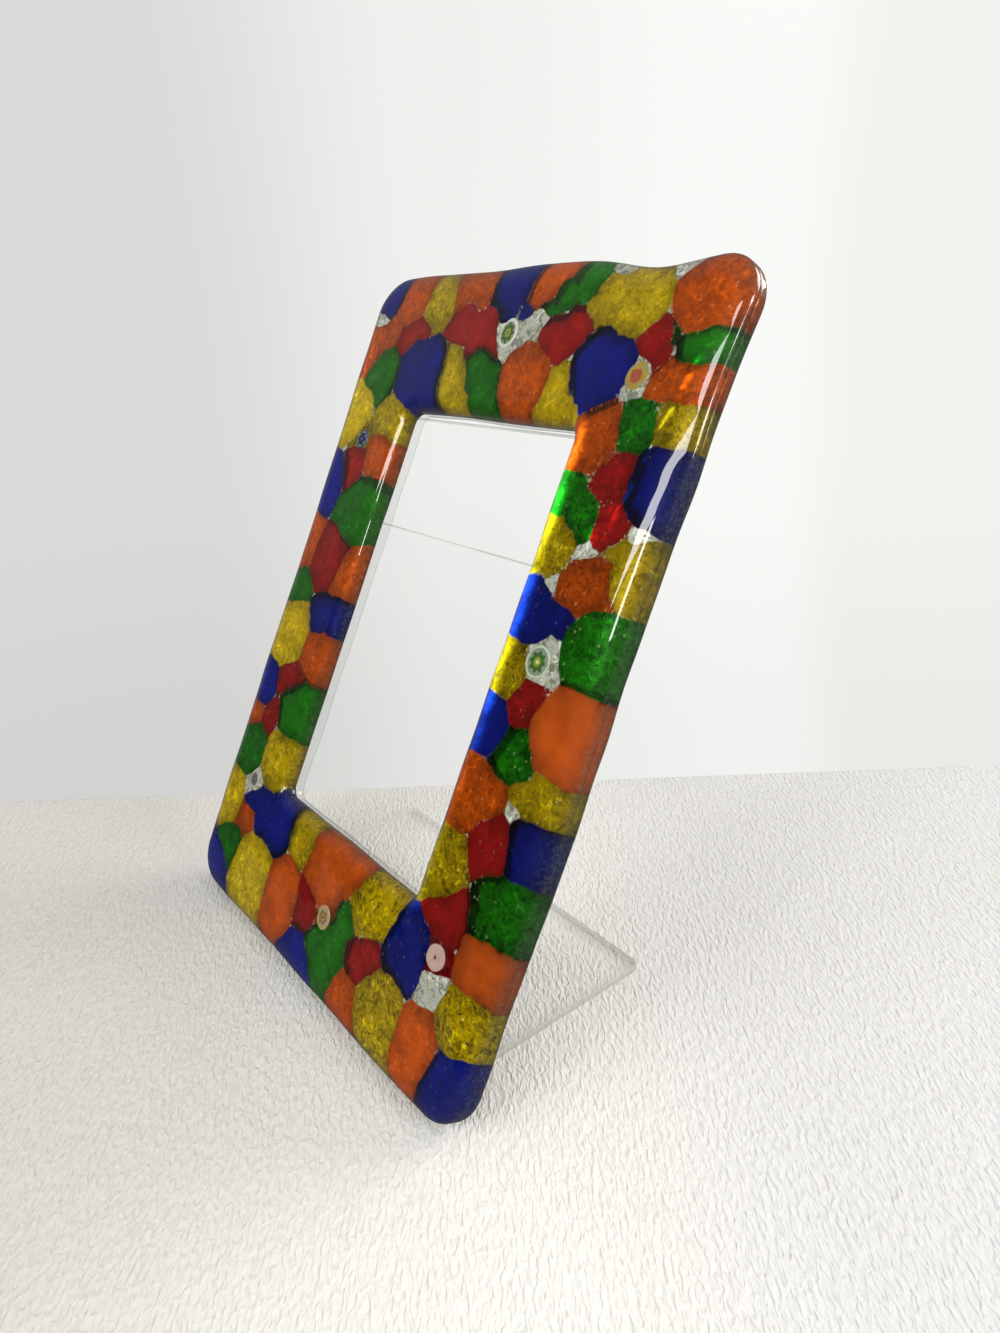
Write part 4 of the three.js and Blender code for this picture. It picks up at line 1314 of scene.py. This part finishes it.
@dataclass
class CaneSlices:
    """The slices of flower cane, each a low dome set flush in the mosaic's face."""

    slab: Slab
    spokes: int = 48
    rings: int = 12
    back: float = 2.2

    def surface(self, cane: Cane) -> Surface:
        """Works out a slice: rings of points whose face falls as the fourth power outwards.

        Args:
            cane: The slice.

        Returns:
            The closed surface, with the points' own place on the slice.
        """
        share = np.linspace(0, 1, self.rings + 1)[1:]
        turn = np.arange(self.spokes) / self.spokes * 2 * math.pi
        uneven = 1 + 0.04 * np.sin(2 * turn + cane.across) + 0.025 * np.sin(5 * turn + cane.up)
        radius = cane.radius * uneven
        ring = share[:, None] * radius[None, :]
        depth = -0.02 + 0.2 * share[:, None] ** 4 + 0 * ring
        across = cane.across + ring * np.cos(turn)
        up = cane.up + ring * np.sin(turn) * cane.stretch
        last = slice(-1, None)
        across = np.concatenate([across, across[last]])
        up = np.concatenate([up, up[last]])
        depth = np.concatenate([depth, 0 * depth[last] + self.back])
        points = self.slab.place(across, up, depth)
        made = Surface.tube(points, round_rows=False)
        count = len(made.points)
        made.caps = [list(range(self.spokes))[::-1],
                     list(range(count - self.spokes, count))]
        made.values = {
            "cane_across": ((across - cane.across) / cane.radius).reshape(-1),
            "cane_up": ((up - cane.up) / cane.radius / cane.stretch).reshape(-1),
        }
        return made

    def build(self, cane: Cane) -> bpy.types.Object:
        """Makes one slice in place of its node.

        Args:
            cane: The slice.

        Returns:
            The piece.
        """
        piece = self.surface(cane).make(cane.node + "_glass")
        piece.data.materials.append(cane.finish.material())
        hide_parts(cane.node)
        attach(piece, "root")
        return piece


@dataclass
class ClearRing:
    """The clear glass under the mosaic, with its back edges rounded by the kiln."""

    slab: Slab
    tiles: TileField
    front: float = 4.48
    back: float = 8.0
    rounding: float = 1.6
    arc_steps: int = 7

    def surface(self) -> Surface:
        """Carries one section round both outlines: walls, back quarter rounds and faces.

        Returns:
            The closed surface with the pattern's values on its points.
        """
        outer, outer_way = OUTER.stations(14, 84, 128)
        window, window_way = WINDOW.stations(14, 84, 128)
        turn = np.linspace(0, math.pi / 2, self.arc_steps + 1)
        inset = np.concatenate([[0.03, 0.0, 0.0], self.rounding * (1 - np.cos(turn))])
        depth = np.concatenate([[self.front, self.front + 0.03, self.front + 0.9],
                                self.back - self.rounding * (1 - np.sin(turn))])
        sides = []
        for place, way in ((outer, outer_way), (window, -window_way)):
            rolls = kiln_rolls(place[:, 0], place[:, 1])[:, None]
            drawn = inset[None, :] - rolls * np.clip(2 - (depth - self.front) / 1.5, 0, 1)
            flat = place[:, None, :] - way[:, None, :] * drawn[..., None]
            deep = np.broadcast_to(depth, flat.shape[:2])[..., None]
            sides.append(np.concatenate([flat, deep], axis=-1))
        grid = np.concatenate([sides[0], sides[1][:, ::-1]], axis=1)
        across, up = grid[..., 0].reshape(-1), grid[..., 1].reshape(-1)
        rolls = 0.12 * Waves(23, 31).height(grid[..., 0], grid[..., 1])
        grid[..., 2] += np.where(grid[..., 2] > self.front + 1, rolls, 0)
        made = Surface.tube(self.slab.place(grid[..., 0], grid[..., 1], grid[..., 2]), True)
        made.values = self.tiles.read(across, up)
        down = (grid[..., 2].reshape(-1) - self.front) / (self.back - self.front)
        made.values["rim"] = np.clip(0.5 + 0.6 * down, 0, 1)
        made.values["glow"] = 0 * down
        made.values["painted_haze"] = 0 * down
        return made

    def build(self, coloured: bpy.types.Material) -> bpy.types.Object:
        """Makes the ring in place of its node, its outer wall tinted as the tiles above it.

        Args:
            coloured: The coloured glass.

        Returns:
            The ring.
        """
        surface = self.surface()
        piece = surface.make("clear_ring")
        piece.data.materials.append(ClearGlassFinish().material())
        piece.data.materials.append(coloured)
        half = 3 + self.arc_steps + 1
        column = np.arange(len(surface.quads)) % (2 * half)
        wall = column < half - 1
        piece.data.polygons.foreach_set("material_index", wall.astype(np.int32))
        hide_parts("base_ring")
        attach(piece, "root")
        return piece


# --- Acrylic -------------------------------------------------------------------------------


@dataclass
class AcrylicSheet:
    """A sheet of acrylic: a rounded rectangle carried along a straight or bent path."""

    name: str
    node: str
    half_width: float
    length: float
    thickness: float
    corner: float
    path: Callable[[Array, Array], tuple[Array, Array]]
    bends: tuple[float, float] = (0.0, 0.0)
    middle_across: float = 0.0
    edge: float = 0.22
    left_light: float = 0.35

    def stops(self) -> Array:
        """Lists the stations along the sheet: close at its ends and round its bend.

        Returns:
            Distances along the sheet's middle, in millimetres.
        """
        turn = np.linspace(0, math.pi / 2, 5)
        bevel = self.edge * (1 - np.cos(turn))
        corner = self.corner * (1 - np.cos(np.linspace(0.12, math.pi / 2, 9)))
        start = np.concatenate([bevel, corner[corner > self.edge * 1.2]])
        low, high = start[-1], self.length - start[-1]
        inner = np.linspace(low, high, 30)
        bend = np.linspace(*self.bends, 40) if self.bends[1] > 0 else np.zeros(0)
        every = np.concatenate([start, inner, bend, self.length - start])
        return np.unique(np.round(every, 5))

    def surface(self) -> Surface:
        """Carries the sheet's section along its path.

        A section is a flat loop with quarter-round edges. Towards each end it narrows with
        the corner's circle and thins with the end edge's own quarter round.

        Returns:
            The closed surface, with 1 on its edges and 0 on its faces.
        """
        along = self.stops()
        from_end = np.minimum(along, self.length - along)
        into = np.clip(self.corner - from_end, 0, self.corner)
        half = self.half_width - self.corner + np.sqrt(self.corner**2 - into**2)
        short = np.clip(self.edge - from_end, 0, self.edge)
        thin = self.thickness / 2 - self.edge + np.sqrt(self.edge**2 - short**2)
        half = half - (self.edge - np.sqrt(self.edge**2 - short**2))
        half, thin = half[:, None], thin[:, None]
        turn = np.linspace(0, math.pi / 2, 5)
        run = np.linspace(-1, 1, 25)[None, :]
        rim_in = self.edge * (1 - np.sin(turn))[None, :]
        rim_up = np.minimum(self.edge * (1 - np.cos(turn))[None, :], thin)
        sides, heights, edges = [], [], []
        for way in (1, -1):
            face = way * (half - self.edge) * run
            leaving = way * (half - rim_in[:, 1:])
            arriving = way * (half - rim_in[:, ::-1][:, :-1])
            sides += [face, leaving, arriving]
            heights += [-way * thin + 0 * face, -way * (thin - rim_up[:, 1:]),
                        way * (thin - rim_up[:, ::-1][:, :-1])]
            edges += [0 * run[0], 0 * turn[1:] + 1, 0 * turn[1:] + 1]
        across, height = np.concatenate(sides, axis=1), np.concatenate(heights, axis=1)
        centre, normal = self.path(along, along * 0)
        grid = centre[:, None, :] + normal[:, None, :] * height[..., None]
        points = np.concatenate([(across + self.middle_across)[..., None], grid], axis=-1) * MM
        made = Surface.tube(points, round_rows=False)
        columns = across.shape[1]
        count = len(made.points)
        made.caps = [list(range(columns))[::-1], list(range(count - columns, count))]
        on_edge = np.broadcast_to(np.concatenate(edges), across.shape).copy()
        on_edge[from_end < self.edge * 1.01] = 1
        lit = on_edge * np.where(across < 0, self.left_light, 0.0)
        made.values = {"edge": on_edge.reshape(-1), "lit": lit.reshape(-1)}
        return made

    def build(self, finish: bpy.types.Material) -> bpy.types.Object:
        """Makes the sheet in place of its node.

        Args:
            finish: The acrylic's material.

        Returns:
            The piece.
        """
        piece = self.surface().make(self.name)
        piece.data.materials.append(finish)
        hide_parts(self.node)
        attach(piece, "root")
        return piece


@dataclass
class Pocket:
    """The acrylic behind the window: two side spacers, a floor spacer and the back plate."""

    slab: Slab
    half_width: float = 52.5
    spacer_width: float = 7.0
    spacer_depth: float = 8.3
    spacer_thickness: float = 2.5
    plate_depth: float = 11.1
    plate_thickness: float = 2.0
    bottom: float = 28.5
    floor: float = 35.5
    top: float = 160.5
    gap: float = 0.3

    def flat(self, bottom: float, depth: float) -> Callable[[Array, Array], tuple[Array, Array]]:
        """Gives the path of a flat sheet: straight up the slab at a depth.

        Args:
            bottom: Where the sheet starts on the slab.
            depth: How far its middle lies behind the front face.

        Returns:
            A function from distance along the sheet to its points and normals in y and z.
        """
        sine, cosine = math.sin(self.slab.lean), math.cos(self.slab.lean)

        def path(along: Array, zero: Array) -> tuple[Array, Array]:
            """Walks straight up the slab.

            Args:
                along: Distances along the sheet.
                zero: Zeros of the same shape.

            Returns:
                The points and the normals in y and z.
            """
            at = self.slab.place(zero, bottom + along, depth + zero)[:, 1:] / MM
            back = np.stack([zero + cosine, zero - sine], axis=-1)
            return at, back

        return path

    def sheets(self) -> list[AcrylicSheet]:
        """Lists the pocket's four sheets.

        Returns:
            The sheets.
        """
        side = self.spacer_width / 2
        deep = self.spacer_depth + self.spacer_thickness / 2
        start = self.floor + self.gap
        thick = self.spacer_thickness
        return [
            AcrylicSheet("left_spacer_sheet", "left_spacer", side, self.top - start, thick, 0.3,
                         self.flat(start, deep), middle_across=side - self.half_width),
            AcrylicSheet("right_spacer_sheet", "right_spacer", side, self.top - start, thick,
                         0.3, self.flat(start, deep), middle_across=self.half_width - side),
            AcrylicSheet("floor_spacer_sheet", "floor_spacer", self.half_width,
                         self.floor - self.bottom, thick, 0.3, self.flat(self.bottom, deep)),
            AcrylicSheet("pocket_plate_sheet", "pocket_plate", self.half_width,
                         self.top - self.bottom, self.plate_thickness, 3.0,
                         self.flat(self.bottom, self.plate_depth + self.plate_thickness / 2)),
        ]


@dataclass
class Leg:
    """The leg: one sheet bent from the foot on the table into the upright on the plate."""

    slab: Slab
    half_width: float = 56.5
    thickness: float = 2.0
    front: float = 13.4
    top: float = 127.0
    corner: float = 2.0
    outer_radius: float = 5.0
    foot_length: float = 54.5

    def centre(self) -> tuple[float, float]:
        """Gives the bend's centre in y and z, where the foot's rear is half its length away."""
        return -self.foot_length / 2, self.outer_radius

    def lengths(self) -> tuple[float, float, float]:
        """Works out the lengths of the leg's parts along the sheet's middle.

        Returns:
            The lengths of the foot, the bend and the upright.
        """
        lean = self.slab.lean
        middle = self.outer_radius - self.thickness / 2
        bend = middle * (math.pi / 2 + lean)
        y, z = self.centre()
        start_up = (y - self.slab.front_y) * math.sin(lean) + (z - self.slab.lift) * math.cos(lean)
        return self.foot_length, bend, self.top - start_up

    def path(self, along: Array, zero: Array) -> tuple[Array, Array]:
        """Walks from the foot's rear edge, round the bend and up the upright.

        Args:
            along: Distances along the sheet's middle.
            zero: Zeros of the same shape; not used.

        Returns:
            Points and inward normals in y and z.
        """
        lean = self.slab.lean
        foot, bend, _ = self.lengths()
        radius = self.outer_radius - self.thickness / 2
        y, z = self.centre()
        angle = np.clip(along - foot, 0, bend) / radius
        heading = -math.pi / 2 - angle
        way = np.stack([np.cos(heading), np.sin(heading)], axis=-1)
        tangent = np.stack([np.sin(heading), -np.cos(heading)], axis=-1)
        before = np.minimum(along - foot, 0)[:, None]
        after = np.maximum(along - foot - bend, 0)[:, None]
        at = np.array([y, z]) + way * radius + tangent * (before + after)
        return at, -way

    def sheet(self) -> AcrylicSheet:
        """Describes the whole leg as one sheet.

        Returns:
            The sheet.
        """
        foot, bend, upright = self.lengths()
        return AcrylicSheet("bent_leg_sheet", "bent_leg", self.half_width,
                            foot + bend + upright, self.thickness, self.corner, self.path,
                            bends=(foot, foot + bend))


# --- The studio ----------------------------------------------------------------------------


@dataclass(frozen=True)
class PhotoCamera:
    """The camera as fitted to the photograph: place in millimetres, turns in degrees."""

    place: tuple[float, float, float] = (199.87, -121.93, 173.12)
    yaw: float = 53.2
    pitch: float = 21.84
    roll: float = -3.2
    focal_pixels: float = 926.34
    frame_pixels: float = 1333.0

    def build(self) -> bpy.types.Object:
        """Makes the camera, with its long side as the sensor's width.

        Returns:
            The camera.
        """
        yaw, pitch, roll = (math.radians(v) for v in (self.yaw, self.pitch, self.roll))
        ahead = Vector((-math.sin(yaw) * math.cos(pitch), math.cos(yaw) * math.cos(pitch),
                        -math.sin(pitch)))
        level = Vector((math.cos(yaw), math.sin(yaw), 0.0))
        upright = level.cross(ahead)
        right = level * math.cos(roll) + upright * math.sin(roll)
        above = upright * math.cos(roll) - level * math.sin(roll)
        data = bpy.data.cameras.new("photo_camera")
        data.sensor_fit = "AUTO"
        data.sensor_width = 36.0
        data.lens = self.focal_pixels * data.sensor_width / self.frame_pixels
        data.clip_start, data.clip_end = 0.005, 20.0
        camera = bpy.data.objects.new("photo_camera", data)
        turn = Matrix((right, above, -ahead)).transposed()
        camera.matrix_world = Matrix.Translation(Vector(self.place) * MM) @ turn.to_4x4()
        bpy.context.scene.collection.objects.link(camera)
        bpy.context.scene.camera = camera
        return camera


@dataclass(frozen=True)
class SoftBox:
    """A rectangular lamp: where it stands, what it faces, its size, power and roll in degrees."""

    name: str
    place: tuple[float, float, float]
    target: tuple[float, float, float]
    size: tuple[float, float]
    power: float
    roll: float = 0.0

    def build(self) -> bpy.types.Object:
        """Makes the lamp, turned to its target.

        Returns:
            The lamp.
        """
        data = bpy.data.lights.new(self.name, "AREA")
        data.shape = "RECTANGLE"
        data.size, data.size_y = self.size
        data.energy = self.power
        lamp = bpy.data.objects.new(self.name, data)
        lamp.location = self.place
        lamp.visible_camera = False
        ahead = Vector(self.target) - Vector(self.place)
        lamp.rotation_euler = ahead.to_track_quat("-Z", "Y").to_euler()
        lamp.rotation_euler.rotate_axis("Z", math.radians(self.roll))
        bpy.context.scene.collection.objects.link(lamp)
        return lamp


@dataclass(frozen=True)
class Studio:
    """A pale grained table top near a pale wall, in soft light."""

    table_far: tuple[float, float] = (-53.3, 64.4)
    table_way: tuple[float, float] = (0.63, 0.777)
    reach: float = 1600.0
    table_thickness: float = 18.0
    table_shaded_left: Colour = srgb(202, 199, 193)
    table_middle: Colour = srgb(226, 224, 217)
    table_right: Colour = srgb(215, 213, 209)
    table_gap: float = 0.07
    wall_shaded_left: Colour = srgb(218, 218, 216)
    wall_middle: Colour = srgb(240, 241, 238)
    wall_bright: Colour = srgb(250, 251, 248)
    wall_right: Colour = srgb(243, 243, 239)
    daylight: float = 0.7
    clear_faces: int = 32

    def table(self) -> bpy.types.Object:
        """Makes the table top: a slab whose far edge runs where the photograph shows it.

        Returns:
            The table top.
        """
        way = np.array(self.table_way)
        near = np.array([way[1], -way[0]])
        far = np.array(self.table_far)
        corners = [far - way * self.reach, far + way * self.reach,
                   far + way * self.reach + near * 2 * self.reach,
                   far - way * self.reach + near * 2 * self.reach]
        edge = 3.0
        turn = np.linspace(0, math.pi / 2, 6)
        inset = np.concatenate([edge * (1 - np.cos(turn))[::-1], [0.0]])
        depth = np.concatenate([-edge * (1 - np.sin(turn))[::-1], [-self.table_thickness]])
        centre = np.mean(corners, axis=0)
        rows = []
        for pull, z in zip(inset, depth):
            ring = [corner + (centre - corner) * (pull / self.reach) for corner in corners]
            rows.append([[*point, z - self.table_gap] for point in ring])
        made = Surface.tube(np.array(rows) * MM, round_rows=False)
        count = len(made.points)
        made.caps = [[3, 2, 1, 0], list(range(count - 4, count))]
        table = made.make("table_top")
        table.data.polygons.foreach_set("use_smooth", np.zeros(len(table.data.polygons), bool))
        table.data.materials.append(self.table_material())
        return table

    def table_material(self) -> bpy.types.Material:
        """Writes the table's pale covering, whose grain runs in short creases.

        Returns:
            The material.
        """
        shader = Shader("pale_table")
        place = shader.place()
        turned = shader.node("ShaderNodeMapping", {"vector_type": "TEXTURE"}, {
            "Vector": place, "Rotation": (0.0, 0.0, math.radians(146)),
            "Scale": (2.3, 0.9, 1.0)}).outputs[0]
        crease = shader.noise(turned, 1.15, 1.0, 0.5, 0.6)
        patch = shader.noise(place, 55.0, 2.0)
        parts = shader.node("ShaderNodeSeparateXYZ", {}, {0: place})
        along = Value(shader, parts.outputs["X"]) * 0.6 + Value(shader, parts.outputs["Y"]) * 0.8
        # Painted shade: the table is darker towards the left, on the side away from the light. It
        # is also a little darker to the right than in the middle.
        tint = shader.mix(along.ramp(-120.0, 15.0), self.table_shaded_left, self.table_middle)
        tint = shader.mix(along.ramp(25.0, 95.0), tint, self.table_right)
        grain = 0.955 + crease.ramp(0.36, 0.62) * 0.045 + patch * 0.02
        tint = shader.mix(1.0, tint, shader.grey(grain), "MULTIPLY")
        dim = shader.mix(1.0, tint, (0.16, 0.16, 0.16, 1.0), "MULTIPLY")
        path = shader.node("ShaderNodeLightPath")
        passing = Value(shader, path.outputs["Is Transmission Ray"])
        mirrored = Value(shader, path.outputs["Is Glossy Ray"]) * (1 - passing)
        normal = shader.bump(crease, 0.9, 0.8)
        return shader.finish(
            shader.principled({"Base Color": shader.mix(mirrored, tint, dim), "Roughness": 0.7,
                               "Normal": normal, "Specular IOR Level": 0.2})
        )

    def world(self) -> None:
        """Makes the room: its pale wall for what looks at it, and daylight for the rest.

        Polished faces mirror a room that is dark before the frame and pale behind it.
        """
        shader = Shader("room")
        world = bpy.data.worlds.new("pale_room")
        world.use_nodes = True
        shader.tree = world.node_tree
        shader.tree.nodes.clear()
        path = shader.node("ShaderNodeLightPath")
        seen = Value(shader, path.outputs["Is Camera Ray"]).most(
            Value(shader, path.outputs["Is Transmission Ray"]))
        glossy = Value(shader, path.outputs["Is Glossy Ray"])
        where = shader.node("ShaderNodeTexCoord").outputs["Generated"]
        parts = shader.node("ShaderNodeSeparateXYZ", {}, {0: where})
        back, height = Value(shader, parts.outputs["Y"]), Value(shader, parts.outputs["Z"])
        mirrored = back.ramp(-0.68, -0.2) * 0.17 + 0.005 + height.ramp(0.6, 0.95) * 0.1
        level = glossy * mirrored + (1 - glossy) * self.daylight
        drift = shader.noise(where, 0.6, 2.0)
        aside = Value(shader, parts.outputs["X"]) * 0.6 + back * 0.8
        # Painted shade: the wall is darker towards the left, on the side away from the light.
        wall = shader.mix(aside.ramp(-0.30, -0.03), self.wall_shaded_left, self.wall_middle)
        wall = shader.mix(aside.ramp(-0.03, 0.25), wall, self.wall_bright)
        wall = shader.mix(aside.ramp(0.29, 0.36), wall, self.wall_right)
        low = (1 - height.ramp(-0.47, -0.14)) * 0.08
        wall_tone = shader.grey((0.985 + drift * 0.03) * (1 - low))
        wall = shader.mix(1.0, wall, wall_tone, "MULTIPLY")
        colour = shader.mix(seen, shader.grey(level), wall)
        light = shader.node("ShaderNodeBackground", {}, {"Color": colour}).outputs[0]
        shader.node("ShaderNodeOutputWorld", {}, {"Surface": light})
        bpy.data.materials.remove(shader.material)
        bpy.context.scene.world = world

    def build(self) -> None:
        """Makes the room, its table and its lamps."""
        self.world()
        self.table()
        middle = (0.02, 0.0, 0.1)
        SoftBox("long_lamp", (0.12, -0.57, 0.61), middle, (0.86, 0.085), 2.7, 8.0).build()
        SoftBox("front_lamp", (0.14, -0.735, 0.59), middle, (0.10, 0.12), 0.7).build()
        SoftBox("side_lamp", (0.95, 0.22, 0.44), middle, (0.26, 0.22), 3.4).build()
        SoftBox("back_lamp", (0.35, 0.95, 0.60), middle, (0.7, 0.4), 6.0).build()
        bpy.context.scene.view_settings.view_transform = "Standard"
        bpy.context.scene.cycles.transparent_max_bounces = self.clear_faces


def main() -> None:
    """Builds the picture frame and the studio, and logs the slab's place and each piece's faces.
    """
    logging.basicConfig(level=logging.INFO, format="%(message)s")
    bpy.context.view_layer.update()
    slab = Slab()
    log.info("slab: front line at y %.2f mm, lifted %.2f mm", slab.front_y, slab.lift)
    tiles = TileField()
    coloured = MosaicFinish().material()
    pieces = [Mosaic(slab, tiles).build(coloured), ClearRing(slab, tiles).build(coloured)]
    slices = CaneSlices(slab)
    pieces += [slices.build(cane) for cane in CANES]
    acrylic = AcrylicFinish().material()
    pieces += [sheet.build(acrylic) for sheet in (*Pocket(slab).sheets(), Leg(slab).sheet())]
    for piece in pieces:
        log.info("%s: %d faces", piece.name, len(piece.data.polygons))
    Studio().build()
    PhotoCamera().build()


if __name__ == "__main__":
    main()
